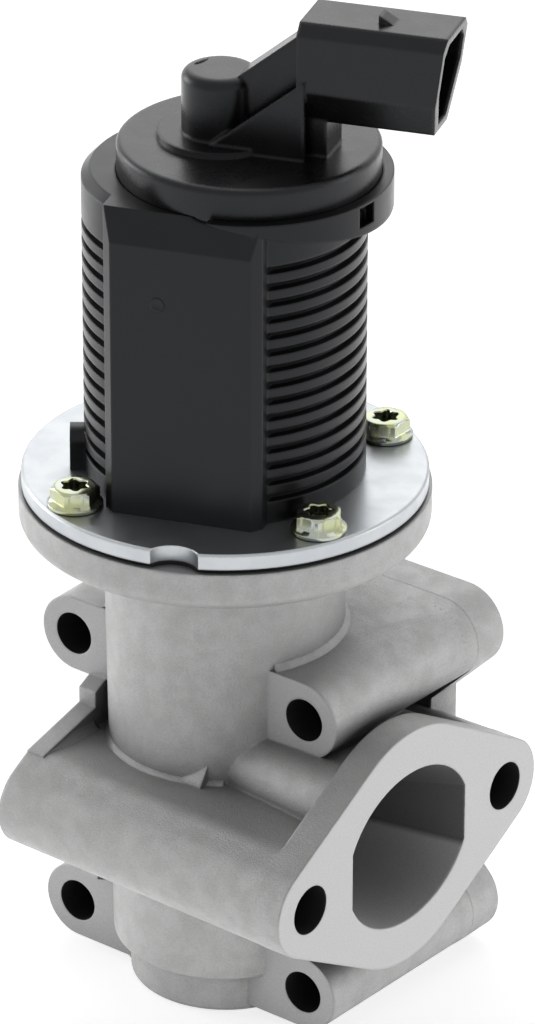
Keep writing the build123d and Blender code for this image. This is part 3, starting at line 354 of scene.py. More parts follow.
@dataclass(frozen=True)
class FlatFace(Zone):
    """A flat face: the axis it looks along, its level there and which way it looks."""

    axis: Axis
    level: float
    sign: float = 1.0

    def mask(self, graph: Graph) -> bpy.types.NodeSocket:
        """Masks the face by the shared group.

        Args:
            graph: the material's graph.
        Returns:
            1 on the face and 0 elsewhere.
        """
        coordinates = graph.node("ShaderNodeTexCoord")
        places = graph.parts(coordinates.outputs["Object"])
        normals = graph.parts(coordinates.outputs["Normal"])
        group = graph.node("ShaderNodeGroup", node_tree=FACE)
        index = self.axis.value
        graph.feed(group.inputs[0], graph.maths("MULTIPLY", places[index], self.sign))
        graph.feed(group.inputs[1], self.level)
        graph.feed(group.inputs[2], graph.maths("MULTIPLY", normals[index], self.sign))
        return group.outputs[0]


@dataclass(frozen=True)
class Bore(Zone):
    """Holes along one axis, at mirrored places across and, if asked, up; past a level, under another."""

    along: Axis
    centre: tuple[float, float]
    half_axes: tuple[float, float]
    mirror_up: bool = False
    past: float = -1.0
    under: float = 1.0

    def mask(self, graph: Graph) -> bpy.types.NodeSocket:
        """Masks the holes by the shared group, from the distances to the nearest hole's axis.

        Args:
            graph: the material's graph.
        Returns:
            1 in the holes, past the one level and under the other, and 0 elsewhere.
        """
        places = graph.parts(graph.place())
        across = places[1] if self.along is Axis.X else places[0]
        up = graph.maths("ABSOLUTE", places[2]) if self.mirror_up else places[2]
        group = graph.node("ShaderNodeGroup", node_tree=BORE)
        off_across = graph.maths("SUBTRACT", graph.maths("ABSOLUTE", across), self.centre[0])
        graph.feed(group.inputs[0], off_across)
        graph.feed(group.inputs[1], graph.maths("SUBTRACT", up, self.centre[1]))
        graph.feed(group.inputs[2], self.half_axes[0])
        graph.feed(group.inputs[3], self.half_axes[1])
        past = graph.maths("GREATER_THAN", places[self.along.value], self.past)
        under = graph.span(places[2], self.under, self.under + UNDER_FADE, 1.0, 0.0)
        return graph.maths("MULTIPLY", graph.maths("MULTIPLY", group.outputs[0], past), under)


# ------------------------------------------------------------------------------------------ finishes
@dataclass(frozen=True)
class Finish:
    """One surface finish, with the same layers for every material of the valve."""

    name: str
    colour: Colour
    second_colour: Colour
    # edge_colour lightens outer edges: partly wear, partly painted highlight
    edge_colour: Colour
    roughness: float
    roughness_spread: float = 0.08
    metallic: float = 0.0
    specular: float = 0.5
    tint: Colour = (1.0, 1.0, 1.0)
    grain_per_metre: float = 2200.0
    mottle_per_metre: float = 90.0
    grain_depth: float = 0.00004
    speckle: float = 0.0
    # shade is painted shade: the share of the colour left in closed corners, 1 paints none
    shade: float = 1.0
    shade_reach: float = 0.006
    edge_radius: float = 0.0005
    edge_gain: float = 5.0
    rings_per_metre: float = 0.0
    rings_depth: float = 0.00001
    zones: tuple[Zone, ...] = ()

    def build(self) -> bpy.types.Material:
        """Makes the material.

        Returns:
            A material whose colour, roughness and height come from grain, mottle, speckle, edges lightened
            as wear and as painted highlight, painted shade in corners, turning rings and its own zones.
        """
        material = bpy.data.materials.new(self.name)
        material.use_nodes = True
        material.diffuse_color = (*self.colour, 1.0)
        graph = Graph(material.node_tree)
        shader = material.node_tree.nodes["Principled BSDF"]
        grain = graph.node("ShaderNodeGroup", node_tree=GRAIN)
        graph.feed(grain.inputs[0], self.grain_per_metre)
        graph.feed(grain.inputs[1], self.mottle_per_metre)
        edge = graph.node("ShaderNodeGroup", node_tree=EDGE)
        graph.feed(edge.inputs[0], self.edge_radius)
        graph.feed(edge.inputs[1], self.edge_gain)
        graph.feed(edge.inputs[2], self.shade_reach)
        mottle = grain.outputs[Output.MOTTLE.value]
        colour = graph.mix(mottle, self.colour, self.second_colour)
        low = max(self.roughness - self.roughness_spread, 0.05)
        rough = graph.span(mottle, 0.0, 1.0, low, self.roughness + self.roughness_spread)
        height = grain.outputs[Output.HEIGHT.value]
        if self.rings_per_metre:
            height = graph.maths("ADD", height, self.rings(graph))
        for zone in self.zones:
            mask = zone.mask(graph)
            colour = graph.mix(mask, colour, zone.colour)
            rough = graph.span(mask, 0.0, 1.0, rough, zone.roughness)
            height = graph.maths("MULTIPLY", height, graph.span(mask, 0.0, 1.0, 1.0, zone.grain_share))
        if self.speckle:
            spots = grain.outputs[Output.SPECKLE.value]
            colour = graph.dim(colour, graph.span(spots, 0.0, 1.0, 1.0 - self.speckle, 1.0))
        # Painted shade: the colour darkens where few open surroundings lie within the reach.
        if self.shade < 1.0:
            openness = edge.outputs[Output.OPENNESS.value]
            colour = graph.dim(colour, graph.span(openness, 0.15, 0.85, self.shade, 1.0))
        # Edges lightened towards edge_colour: partly wear, partly painted highlight.
        colour = graph.mix(edge.outputs[Output.EDGE.value], colour, self.edge_colour)
        rounded = graph.node("ShaderNodeBevel", samples=4)
        rounded.inputs["Radius"].default_value = self.edge_radius
        bump = graph.node("ShaderNodeBump")
        bump.inputs["Strength"].default_value = 1.0
        bump.inputs["Distance"].default_value = self.grain_depth
        graph.feed(bump.inputs["Height"], height)
        graph.feed(bump.inputs["Normal"], rounded.outputs[0])
        graph.feed(shader.inputs["Base Color"], colour)
        graph.feed(shader.inputs["Roughness"], rough)
        graph.feed(shader.inputs["Normal"], bump.outputs[0])
        shader.inputs["Metallic"].default_value = self.metallic
        shader.inputs["Specular IOR Level"].default_value = self.specular
        shader.inputs["Specular Tint"].default_value = (*self.tint, 1.0)
        return material

    def rings(self, graph: Graph) -> bpy.types.NodeSocket:
        """Turning rings about the valve axis: a sine of the distance from it, scaled to the grain.

        Args:
            graph: the material's graph.
        Returns:
            Their height, as a share of the grain's depth.
        """
        parts = graph.parts(graph.place())
        squares = [graph.maths("MULTIPLY", part, part) for part in parts[:2]]
        radius = graph.maths("SQRT", graph.maths("ADD", *squares))
        wave = graph.maths("SINE", graph.maths("MULTIPLY", radius, self.rings_per_metre * math.tau))
        return graph.maths("MULTIPLY", wave, self.rings_depth / self.grain_depth)


def grey(level: float, warm: float = 0.0) -> Colour:
    """A grey of a linear level, a little warmer where warm is above 0."""
    return (level * (1 + warm), level, level * (1 - warm))


MACHINED = grey(0.58)
# Painted shade: near-black for the walls of the deep bolt holes.
BORE_PAINTED_SHADE = grey(0.012)
LONG_BOLT = (27.8 * MM, 29.3 * MM)
LONG_BOLT_HOLE = (4.3 * MM, 4.3 * MM)
PORT_BOLT = (30.0 * MM, 3.0 * MM)
PORT_BOLT_HOLE = (4.85 * MM, 4.85 * MM)
PORT_MIDDLE = (0.0, 3.0 * MM)
PASSAGE = (18.8 * MM, 15.9 * MM)
PASSAGE_START = 22.5 * MM
PASSAGE_FLOOR = -4.5 * MM
# shade paints shade into the casting's corners; edge_colour lightens edges partly as wear and partly as
# painted highlight.
CAST = Finish(
    "cast_aluminium", grey(0.50, 0.004), grey(0.475, 0.008), grey(0.66),
    roughness=0.52, roughness_spread=0.06, metallic=0.4, specular=0.5,
    grain_per_metre=3000.0, mottle_per_metre=260.0, grain_depth=0.0001, speckle=0.14,
    shade=0.34, shade_reach=0.018, edge_radius=0.0008, edge_gain=1.4,
    zones=(
        # Bolt holes painted near-black inside: painted shade of deep holes.
        Bore(BORE_PAINTED_SHADE, 0.7, 1.0, Axis.Y, LONG_BOLT, LONG_BOLT_HOLE, mirror_up=True),
        Bore(BORE_PAINTED_SHADE, 0.7, 1.0, Axis.X, PORT_BOLT, PORT_BOLT_HOLE),
        # Painted shade in the port passage past its start; the floor under PASSAGE_FLOOR keeps a light grey
        # as painted light.
        Bore(grey(0.13), 0.7, 1.0, Axis.X, PORT_MIDDLE, PASSAGE, past=PASSAGE_START),
        Bore(grey(0.5), 0.6, 1.0, Axis.X, PORT_MIDDLE, PASSAGE, past=PASSAGE_START, under=PASSAGE_FLOOR),
        FlatFace(MACHINED, 0.42, 0.2, Axis.X, 44.0 * MM),
        FlatFace(MACHINED, 0.42, 0.2, Axis.Y, 39.5 * MM),
        FlatFace(MACHINED, 0.42, 0.2, Axis.Z, 65.7 * MM),
        FlatFace(grey(0.44), 0.5, 0.5, Axis.Y, 11.4 * MM, sign=-1.0),
    ),
)
BLACK_MOULDING = Finish(
    "black_moulding", grey(0.0045, -0.06), grey(0.006, -0.06), grey(0.02),
    roughness=0.33, roughness_spread=0.025, metallic=0.0, specular=0.25,
    tint=(0.93, 0.96, 1.0), grain_per_metre=5200.0, mottle_per_metre=120.0, grain_depth=0.000012,
    edge_radius=0.0006, edge_gain=1.0,
)
BLACK_COVER = Finish(
    "black_cover", grey(0.0045, -0.06), grey(0.006, -0.06), grey(0.02),
    roughness=0.28, roughness_spread=0.02, metallic=0.0, specular=0.28,
    tint=(0.93, 0.96, 1.0), grain_per_metre=4800.0, mottle_per_metre=140.0, grain_depth=0.000010,
    edge_radius=0.0010, edge_gain=0.6,
)
ZINC_PLATE = Finish(
    "zinc_plate", (0.45, 0.47, 0.485), (0.42, 0.44, 0.46), grey(0.72),
    roughness=0.33, roughness_spread=0.03, metallic=0.85, specular=0.5,
    grain_per_metre=3000.0, mottle_per_metre=160.0, grain_depth=0.000006, edge_radius=0.0004, edge_gain=3.0,
)
# shade paints shade into the screws' sockets and round the foot of each head.
YELLOW_ZINC = Finish(
    "zinc_screws", (0.36, 0.39, 0.37), (0.40, 0.42, 0.22), (0.70, 0.71, 0.62),
    roughness=0.16, roughness_spread=0.05, metallic=0.95, specular=0.5,
    grain_per_metre=4000.0, mottle_per_metre=300.0, grain_depth=0.00001, shade=0.08, shade_reach=0.003,
    edge_radius=0.0002, edge_gain=3.0,
)
TURNED_STEEL = Finish(
    "turned_steel", grey(0.50), grey(0.43), grey(0.7),
    roughness=0.34, roughness_spread=0.06, metallic=0.95, specular=0.5,
    grain_depth=0.00001, rings_per_metre=1400.0, rings_depth=0.000006,
)
SEAT_STEEL = Finish(
    "seat_steel", grey(0.40, 0.02), grey(0.30, 0.05), grey(0.62),
    roughness=0.38, roughness_spread=0.08, metallic=0.95, specular=0.5,
    mottle_per_metre=200.0, grain_depth=0.00001, rings_per_metre=1800.0, rings_depth=0.000006,
)
SINTERED = Finish(
    "sintered_iron", grey(0.16, 0.03), grey(0.12, 0.05), grey(0.30),
    roughness=0.6, roughness_spread=0.08, metallic=0.8, specular=0.5,
    grain_per_metre=6000.0, grain_depth=0.00003,
)
SPRING_STEEL = Finish(
    "spring_steel", grey(0.34), grey(0.28), grey(0.5),
    roughness=0.32, roughness_spread=0.05, metallic=0.95, specular=0.5,
    grain_depth=0.000008,
)
MAGNET_IRON = Finish(
    "magnet_iron", grey(0.42), grey(0.36), grey(0.6),
    roughness=0.4, roughness_spread=0.07, metallic=0.95, specular=0.5,
    grain_depth=0.00001,
)
RUBBER = Finish(
    "seal_rubber", grey(0.012), grey(0.018), grey(0.03),
    roughness=0.75, roughness_spread=0.06, metallic=0.0, specular=0.35,
    grain_depth=0.00002,
)
GASKET = Finish(
    "gasket_sheet", grey(0.012), grey(0.02), grey(0.03),
    roughness=0.7, roughness_spread=0.06, metallic=0.0, specular=0.3,
    grain_depth=0.00002,
)
BOBBIN = Finish(
    "bobbin_plastic", (0.62, 0.58, 0.48), (0.56, 0.52, 0.42), grey(0.7),
    roughness=0.45, roughness_spread=0.06, metallic=0.0, specular=0.5,
    grain_depth=0.00001,
)
COPPER = Finish(
    "copper_winding", (0.48, 0.16, 0.06), (0.40, 0.12, 0.05), (0.6, 0.25, 0.1),
    roughness=0.3, roughness_spread=0.05, metallic=0.9, specular=0.5,
    grain_depth=0.00001,
)
TRACK = Finish(
    "track_card", (0.03, 0.09, 0.04), (0.02, 0.07, 0.03), grey(0.2),
    roughness=0.4, roughness_spread=0.05, metallic=0.0, specular=0.5,
    grain_depth=0.000008,
)
TINNED = Finish(
    "tinned_brass", (0.72, 0.70, 0.62), (0.66, 0.64, 0.55), grey(0.85),
    roughness=0.25, roughness_spread=0.05, metallic=0.95, specular=0.5,
    grain_depth=0.000005,
)


def dress(nodes: Iterable[str], material: bpy.types.Material) -> None:
    """Gives solids a finish.

    Args:
        nodes: names of the solids.
        material: what they are made of.
    """
    for name in nodes:
        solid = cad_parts[name]
        solid.data.materials.clear()
        solid.data.materials.append(material)
        LOG.info("%s dressed as %s", name, material.name)


def grid_faces(along: int, around: int, start: int) -> np.ndarray:
    """Numbers the corners of every face of a closed grid.

    The face in row i and column j joins the points j and j + 1 of row i to the same two of row
    i + 1, each row's last point being followed by its first.

    Args:
        along: rows of the grid.
        around: points in each row.
        start: number of the grid's first point.
    Returns:
        Point numbers of shape (faces, 4).
    """
    row, column = np.meshgrid(np.arange(along - 1), np.arange(around), indexing="ij")
    following = (column + 1) % around
    low, high = row * around, (row + 1) * around
    corners = np.stack((low + column, low + following, high + following, high + column), axis=-1)
    return start + corners.reshape(-1, 4)


def surface(
    name: str, grids: Sequence[np.ndarray], body: str, material: bpy.types.Material
) -> bpy.types.Object:
    """Makes a piece of closed skins, each from a grid of points.

    Each face joins four neighbours of its grid, u along the first index and v round the second, whose
    last row joins the first.  A row whose points coincide becomes one point.  Edges sharper than
    SHARP_ANGLE stay sharp.

    Args:
        name: the piece's name.
        grids: arrays of shape (u, v, 3) in metres.
        body: the body it rides on.
        material: its finish.
    Returns:
        The object.
    """
    skins = [grid.reshape(-1, 3) for grid in grids]
    starts = np.cumsum([0] + [len(skin) for skin in skins])
    faces = [grid_faces(*grid.shape[:2], start) for grid, start in zip(grids, starts)]
    mesh = bpy.data.meshes.new(name)
    mesh.from_pydata(np.concatenate(skins).tolist(), [], np.concatenate(faces).tolist(), shade_flat=False)
    work = bmesh.new()
    work.from_mesh(mesh)
    bmesh.ops.remove_doubles(work, verts=work.verts, dist=WELD)
    bmesh.ops.dissolve_degenerate(work, edges=work.edges, dist=WELD)
    bmesh.ops.recalc_face_normals(work, faces=work.faces)
    work.to_mesh(mesh)
    work.free()
    mesh.set_sharp_from_angle(angle=SHARP_ANGLE)
    mesh.materials.append(material)
    piece = bpy.data.objects.new(name, mesh)
    bpy.context.scene.collection.objects.link(piece)
    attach(piece, body)
    LOG.info("%s made with %d faces", name, len(mesh.polygons))
    return piece


def capped(body: np.ndarray) -> np.ndarray:
    """Closes a tube: a ring that is the mean of its end ring, over and over, is added at each end.

    Args:
        body: rings of shape (stations, around, 3).
    Returns:
        Rings of shape (stations + 2, around, 3).
    """
    ends = body[[0, -1]].mean(axis=1, keepdims=True).repeat(body.shape[1], axis=1)
    return np.concatenate((ends[:1], body, ends[1:]))


# ------------------------------------------------------------------------------------------ sub-assemblies
@dataclass(frozen=True)
class Corner:
    """An inner corner of the casting: its line, the normals of both walls and the rounding there."""

    line: np.ndarray
    first: np.ndarray
    second: np.ndarray
    radius: np.ndarray

    def skin(self, steps: int = 8, sink: float = 0.15 * MM) -> np.ndarray:
        """Rolls a ball along the corner.

        The ball's centre is the line plus the radius times both normals' sum over one plus their dot
        product; the arc between its two touching points is spherically interpolated.  The back of
        the skin is sunk into the walls and both ends close to a point.

        Args:
            steps: arcs are this many steps long.
            sink: how far the back lies inside the walls.
        Returns:
            A grid of shape (stations + 2, around, 3).
        """
        cosine = np.sum(self.first * self.second, axis=1, keepdims=True)
        angle = np.arccos(cosine)
        radius = self.radius[:, None]
        centre = self.line + radius * (self.first + self.second) / (1.0 + cosine)
        share = np.linspace(0.0, 1.0, steps + 1)[:, None, None]
        towards = np.sin((1.0 - share) * angle) * self.first + np.sin(share * angle) * self.second
        arc = centre - radius * towards / np.sin(angle)
        back = (
            centre - (radius + sink) * self.second,
            self.line - sink * (self.first + self.second),
            centre - (radius + sink) * self.first,
        )
        return capped(np.concatenate((arc, np.stack(back))).swapaxes(0, 1))


@dataclass
class CastCorners:
    """The rounded inner corners that a casting has between its walls."""

    port_z: float = 3.0
    slab_half: float = 10.2
    slab_draft: float = 0.4 / 68.0
    closed_x: float = -24.0
    plate_x: float = -20.0
    plate_edge: tuple[float, float] = (14.6, 14.2)
    plate_foot: tuple[float, float] = (30.0, 10.2)
    duct_start: tuple[float, float] = (8.0, 16.4)
    duct_flare: float = 3.6 / 33.0
    duct_half_height: float = 19.7
    duct_round: float = 8.0
    flange_back: float = 37.5
    flange_crown: float = 24.2
    flange_sine: float = 14.8 / 30.0
    arm_z: float = 29.3
    arm_half: float = 7.6
    arm_draft: float = 0.7 / 50.9
    arm_front: float = 11.4
    barrel_low: tuple[float, float] = (-29.8, 21.6)
    barrel_draft: float = 1.3 / 87.6
    foot_radius: float = 18.4
    bolt_x: float = 27.8
    rear_round: float = 8.3
    ramp_start: float = 27.5
    ramp_end: float = 31.45
    stations: int = 60
    slab_sweep: tuple[float, float] = (-150.0, -52.0)
    slab_round: float = 0.9
    rim_part: float = 0.7
    least_round: float = 0.05
    flange_round: float = 1.8
    plate_round: float = 1.6
    flange_span: tuple[float, float] = (19.0, 29.5)
    arm_arcs: tuple[tuple[float, float, tuple[float, float], float], ...] = (
        (1.0, 1.0, (-28.0, 208.0), 1.2),
        (-1.0, -1.0, (-36.0, 216.0), 1.0),
        (-1.0, 1.0, (-28.0, 32.0), 1.2),
        (-1.0, 1.0, (148.0, 208.0), 1.2),
    )

    def radius_at(self, z: np.ndarray) -> np.ndarray:
        """Radius of the barrel or of the foot at a height."""
        low, radius = self.barrel_low
        return np.where(z > low, radius + (z - low) * self.barrel_draft, self.foot_radius)

    def slab_at(self, x: np.ndarray) -> np.ndarray:
        """Half thickness of the slabs at a place on X."""
        return self.slab_half + (x - self.closed_x) * self.slab_draft

    def duct_at(self, x: np.ndarray) -> np.ndarray:
        """Half width of the duct at a place on X."""
        return self.duct_start[1] + (x - self.duct_start[0]) * self.duct_flare

    def corner(self, line: Sequence, first: Sequence, second: Sequence, radius: object) -> Corner:
        """Makes a corner from coordinates in millimetres.

        Args:
            line: x, y and z along it, each an array or a number.
            first: parts of the first wall's normal, likewise.
            second: parts of the second wall's normal, likewise.
            radius: rounding, an array or a number.
        Returns:
            The corner in metres, with unit normals.
        """
        count = max(np.size(part) for part in (*line, *first, *second))
        joined = [
            np.stack([np.broadcast_to(part, (count,)) for part in parts], axis=1).astype(float)
            for parts in (line, first, second)
        ]
        units = [part / np.linalg.norm(part, axis=1, keepdims=True) for part in joined[1:]]
        return Corner(joined[0] * MM, units[0], units[1], np.broadcast_to(radius, (count,)) * MM)

    def slab_face(self, angle: np.ndarray, up: float) -> np.ndarray:
        """Height of a slab's top (up is 1) or underside (-1) at the barrel."""
        return self.port_z + up * self.slab_at(self.barrel_low[1] * np.cos(angle))

    def arm_face(self, angle: np.ndarray, side: float, up: float) -> np.ndarray:
        """Height of the top (up is 1) or underside (-1) of the upper (side is 1) or lower arms."""
        back = self.arm_front + self.barrel_low[1] * np.sin(angle)
        return side * self.arm_z + up * (self.arm_half + back * self.arm_draft)

    def sweep(self, degrees: tuple[float, float]) -> np.ndarray:
        """Angles about the valve axis, in radians, from one to another."""
        return np.radians(np.linspace(*degrees, self.stations))

    def least_of(self, rim: np.ndarray, most: float) -> np.ndarray:
        """Rounding that a rim has room for: a part of it, between the least and the most."""
        return np.clip(self.rim_part * rim, self.least_round, most)

    def round_barrel(self, angle: np.ndarray, height: np.ndarray, up: float, radius: float) -> Corner:
        """Corner between the barrel and a level wall.

        Its line is the barrel's radius at each height times the cosine and sine of the angle.

        Args:
            angle: angles about the valve axis.
            height: the wall's height at each.
            up: 1 where the wall looks up, -1 where it looks down.
            radius: rounding in millimetres.
        Returns:
            The corner.
        """
        reach = self.radius_at(height)
        line = (reach * np.cos(angle), reach * np.sin(angle), height)
        return self.corner(line, (np.cos(angle), np.sin(angle), 0.0), (0.0, 0.0, up), radius)

    def barrel_corners(self) -> list[Corner]:
        """Barrel against the near slab.

        Returns:
            The corners under it and over it.
        """
        angle = self.sweep(self.slab_sweep)
        faces = ((self.slab_face(angle, up), up) for up in (-1.0, 1.0))
        return [self.round_barrel(angle, face, up, self.slab_round) for face, up in faces]

    def duct_profile(self, width: object, turn: np.ndarray) -> tuple[np.ndarray, np.ndarray]:
        """Outline of the duct's edge.

        It is each half size less the rounding, plus the rounding times the turn's cosine or sine.

        Args:
            width: half width of the duct.
            turn: angles on the rounded edge.
        Returns:
            Distances from the port's centre, across and up.
        """
        across = width - self.duct_round * (1.0 - np.cos(turn))
        up = self.duct_half_height - self.duct_round * (1.0 - np.sin(turn))
        return across, up

    def flange_corners(self) -> list[Corner]:
        """Back of the port flange against the duct and the slabs.

        Returns:
            Corners in all four quarters.
        """
        corners = []
        around = np.radians(np.linspace(-8.0, 90.0, 40))
        out = np.linspace(*self.flange_span, 24)
        level = self.slab_at(np.array(self.flange_back))
        for up in (-1.0, 1.0):
            for side in (-1.0, 1.0):
                corners.append(self.flange_corner(side, up, around))
                rim = self.flange_crown - self.rim_share(out, level)
                corners.append(
                    self.corner(
                        (self.flange_back, side * out, self.port_z + up * level),
                        (0.0, 0.0, up),
                        (-1.0, 0.0, 0.0),
                        self.least_of(rim, self.flange_round),
                    )
                )
        return corners

    def rim_share(self, across: np.ndarray, up: np.ndarray) -> np.ndarray:
        """Distance from the port's centre towards the flange's edge.

        It is the plain distance on the round crown, and past it the share along the normal of the
        slanted flank, whose sine is flange_sine.

        Args:
            across: distances across.
            up: distances up.
        Returns:
            The distances.
        """
        cosine = math.sqrt(1.0 - self.flange_sine**2)
        slanted = across * self.flange_sine + up * cosine
        return np.where(across > self.flange_crown * self.flange_sine, slanted, np.hypot(across, up))

    def flange_corner(self, side: float, up: float, around: np.ndarray) -> Corner:
        """Duct's edge against the back of the flange, no wider than the flange's rim there.

        Args:
            side: 1 or -1, which way across.
            up: 1 or -1, over or under the port.
            around: angles on the duct's edge, those under 0 running straight down.
        Returns:
            The corner.
        """
        turn = np.maximum(around, 0.0)
        across, rise = self.duct_profile(self.duct_at(np.array(self.flange_back)), turn)
        rise = rise + np.minimum(around, 0.0) * self.duct_round
        top = np.linspace(across[-1], -0.5, 10)[1:]
        across, rise = np.concatenate((across, top)), np.concatenate((rise, np.full(9, rise[-1])))
        turn = np.concatenate((turn, np.full(9, turn[-1])))
        rim = self.flange_crown - self.rim_share(across, rise)
        return self.corner(
            (self.flange_back, side * across, self.port_z + up * rise),
            (0.0, side * np.cos(turn), up * np.sin(turn)),
            (-1.0, 0.0, 0.0),
            self.least_of(rim, self.flange_round),
        )

    def arm_corners(self) -> list[Corner]:
        """Arms against the barrel and the foot, over and under them.

        Returns:
            One corner for each of the arcs.
        """
        corners = []
        for side, up, degrees, radius in self.arm_arcs:
            angle = self.sweep(degrees)
            corners.append(self.round_barrel(angle, self.arm_face(angle, side, up), up, radius))
        return corners

    def arm_ramps(self) -> list[np.ndarray]:
        """Thin ramps that let the arms run out into the rear flange without a step.

        Each follows the arm's outside: round one tip, straight along the top and round the other tip.

        Returns:
            Closed skins in metres, each of shape (stations + 2, around, 3).
        """
        turn = np.radians(np.linspace(-38.0, 90.0, 28))
        across = np.concatenate((np.cos(turn), -np.cos(turn[::-1])))
        rise = np.concatenate((np.sin(turn), np.sin(turn[::-1])))
        centre = self.bolt_x * np.repeat((1.0, -1.0), len(turn))
        start = self.arm_half + (self.ramp_start + self.arm_front) * self.arm_draft
        section = np.array(
            (
                (start - 0.03, self.ramp_start),
                (self.rear_round, self.ramp_end),
                (self.rear_round - 0.2, self.ramp_end + 0.1),
                (start - 0.3, self.ramp_start + 0.2),
            )
        )
        radius, depth = section[:, 0], section[:, 1]
        x = centre[:, None] + across[:, None] * radius
        z = self.arm_z + rise[:, None] * radius
        y = np.broadcast_to(depth, x.shape)
        return [capped(np.stack((x, y, up * z), axis=-1) * MM) for up in (-1.0, 1.0)]

    def plate_corners(self) -> list[Corner]:
        """Side plate against the tops and undersides of the slabs.

        Its ridge falls in a straight line from the plate's upper edge to its foot, and the rounding
        takes a part of what the ridge stands over the slab.

        Returns:
            Corners in all four quarters.
        """
        corners = []
        across = np.linspace(self.plate_edge[0] + 0.4, self.plate_foot[0] - 1.0, 30)
        share = (across - self.plate_edge[0]) / (self.plate_foot[0] - self.plate_edge[0])
        ridge = self.plate_edge[1] + share * (self.plate_foot[1] - self.plate_edge[1])
        level = self.slab_at(np.array(self.plate_x))
        for up in (-1.0, 1.0):
            for side in (-1.0, 1.0):
                corners.append(
                    self.corner(
                        (self.plate_x, side * across, self.port_z + up * level),
                        (0.0, 0.0, up),
                        (1.0, 0.0, 0.0),
                        self.least_of(ridge - level, self.plate_round),
                    )
                )
        return corners

    def build(self, material: bpy.types.Material) -> None:
        """Makes all corners as one piece.

        Args:
            material: the casting's finish.
        """
        corners = self.barrel_corners() + self.flange_corners() + self.arm_corners() + self.plate_corners()
        skins = [corner.skin() for corner in corners] + self.arm_ramps()
        piece = surface("cast_corners", skins, "housing", material)


@dataclass
class Casting:
    """The cast body with its pressed-in seats, guide and bottom plug."""

    def build(self) -> None:
        """Dresses the casting and what is pressed into it."""
        cast = CAST.build()
        dress(("valve_body",), cast)
        CastCorners().build(cast)
        dress(("bottom_plug", "seal_cap", "spring_washer"), TURNED_STEEL.build())
        dress(("upper_seat", "lower_seat", "deposit_shield"), SEAT_STEEL.build())
        dress(("stem_guide",), SINTERED.build())


@dataclass
class ValveTrain:
    """Stem, discs, springs, retainer and armature."""

    def build(self) -> None:
        """Dresses the moving pieces and the springs."""
        dress(("valve_stem", "upper_disc", "lower_disc"), SEAT_STEEL.build())
        dress(("spring_retainer",), TURNED_STEEL.build())
        dress(("return_spring", "sensor_spring"), SPRING_STEEL.build())
        dress(("armature",), MAGNET_IRON.build())


@dataclass
class PlateAndScrews:
    """Round steel plate, its gasket and the four flange-head screws."""

    plate_top: float = 69.5 * MM
    screw_circle: float = 32.4 * MM
    screw_degrees: tuple[float, ...] = (-130.0, -40.0, 40.0, 130.0)
    clock_degrees: float = 20.5
    across_flats: float = 8.0 * MM
    flange_radius: float = 5.2 * MM
    flange_rim: float = 0.7 * MM
    flange_rise: float = 1.3 * MM
    head_height: float = 4.0 * MM
    corner_turn: float = 0.55 * MM
    socket_radius: float = 2.25 * MM
    socket_lobe: float = 0.32 * MM
    socket_depth: float = 2.2 * MM
    shank_radius: float = 2.5 * MM
    shank_length: float = 7.0 * MM
    flange_edge: float = 0.15 * MM
    flange_bevel: float = 0.2 * MM
    head_foot: float = 1.02
    crown_share: float = 0.97
    crown_shoulder: float = 1.05
    shoulder_drop: float = 0.45
    crown_drop: float = 0.1 * MM
    top_share: float = 0.94
    socket_lip: float = 0.2 * MM
    socket_draft: float = 0.97
    socket_cone: float = 0.3 * MM
    first_turn: float = 0.25
    turn_step: float = 0.4
    around: int = 96

    def build(self) -> None:
        """Dresses the plate and gasket and makes the screws."""
        dress(("mounting_plate",), ZINC_PLATE.build())
        dress(("plate_gasket",), GASKET.build())
        zinc = YELLOW_ZINC.build()
        screws = surface("plate_screw_set", self.screw_points(), "housing", zinc)
        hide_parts("plate_screws")

    def head_profile(self) -> tuple[np.ndarray, np.ndarray]:
        """Radius and height of one screw's skin, row by row from the shank's tip to the socket's floor.

        The hexagon's radius is half the width across flats over the cosine of the angle to the nearest
        flat; the corner turn limits it to a cone at the top.  The socket is a circle plus a six-lobed
        cosine.

        Returns:
            Radii and heights, both of shape (rows, around).
        """
        angle = np.arange(self.around) / self.around * math.tau
        sixth = math.tau / 6
        off_flat = (angle + sixth / 2) % sixth - sixth / 2
        hexagon = self.across_flats / 2 / np.cos(off_flat)
        socket = self.socket_radius + self.socket_lobe * np.cos(6 * angle)
        rounds = np.ones_like(angle)
        top, flange = self.head_height, self.flange_radius
        crown = self.across_flats / 2 * self.crown_share
        edge, lip = self.flange_edge, self.socket_lip
        rows = (
            (0.0 * rounds, -self.shank_length),
            (self.shank_radius * rounds, -self.shank_length),
            (self.shank_radius * rounds, 0.0),
            ((flange - edge) * rounds, 0.0),
            (flange * rounds, edge),
            (flange * rounds, self.flange_rim),
            ((flange - self.flange_bevel) * rounds, self.flange_rim + edge),
            (hexagon * self.head_foot, self.flange_rise),
            (hexagon, self.flange_rise + edge),
            (hexagon, top - self.corner_turn),
            (np.minimum(hexagon, crown * self.crown_shoulder), top - self.corner_turn * self.shoulder_drop),
            (np.minimum(hexagon, crown), top - self.crown_drop),
            (crown * self.top_share * rounds, top),
            (socket + lip, top),
            (socket, top - lip),
            (socket * self.socket_draft, top - self.socket_depth),
            (0.0 * rounds, top - self.socket_depth - self.socket_cone),
        )
        radii = np.array([row[0] for row in rows])
        heights = np.array([np.full(self.around, row[1]) for row in rows])
        return radii, heights

    def screw_points(self) -> np.ndarray:
        """Places the screws: polar grid of each head, turned a little differently, on the screw circle.

        Returns:
            Points of shape (screws, rows, around, 3).
        """
        radii, heights = self.head_profile()
        angle = np.arange(self.around) / self.around * math.tau
        at = np.radians(np.array(self.screw_degrees) + self.clock_degrees)[:, None, None]
        turned = angle + self.first_turn + self.turn_step * np.arange(len(at))[:, None, None]
        x = self.screw_circle * np.cos(at) + radii * np.cos(turned)
        y = self.screw_circle * np.sin(at) + radii * np.sin(turned)
        return np.stack((x, y, np.broadcast_to(self.plate_top + heights, x.shape)), axis=-1)


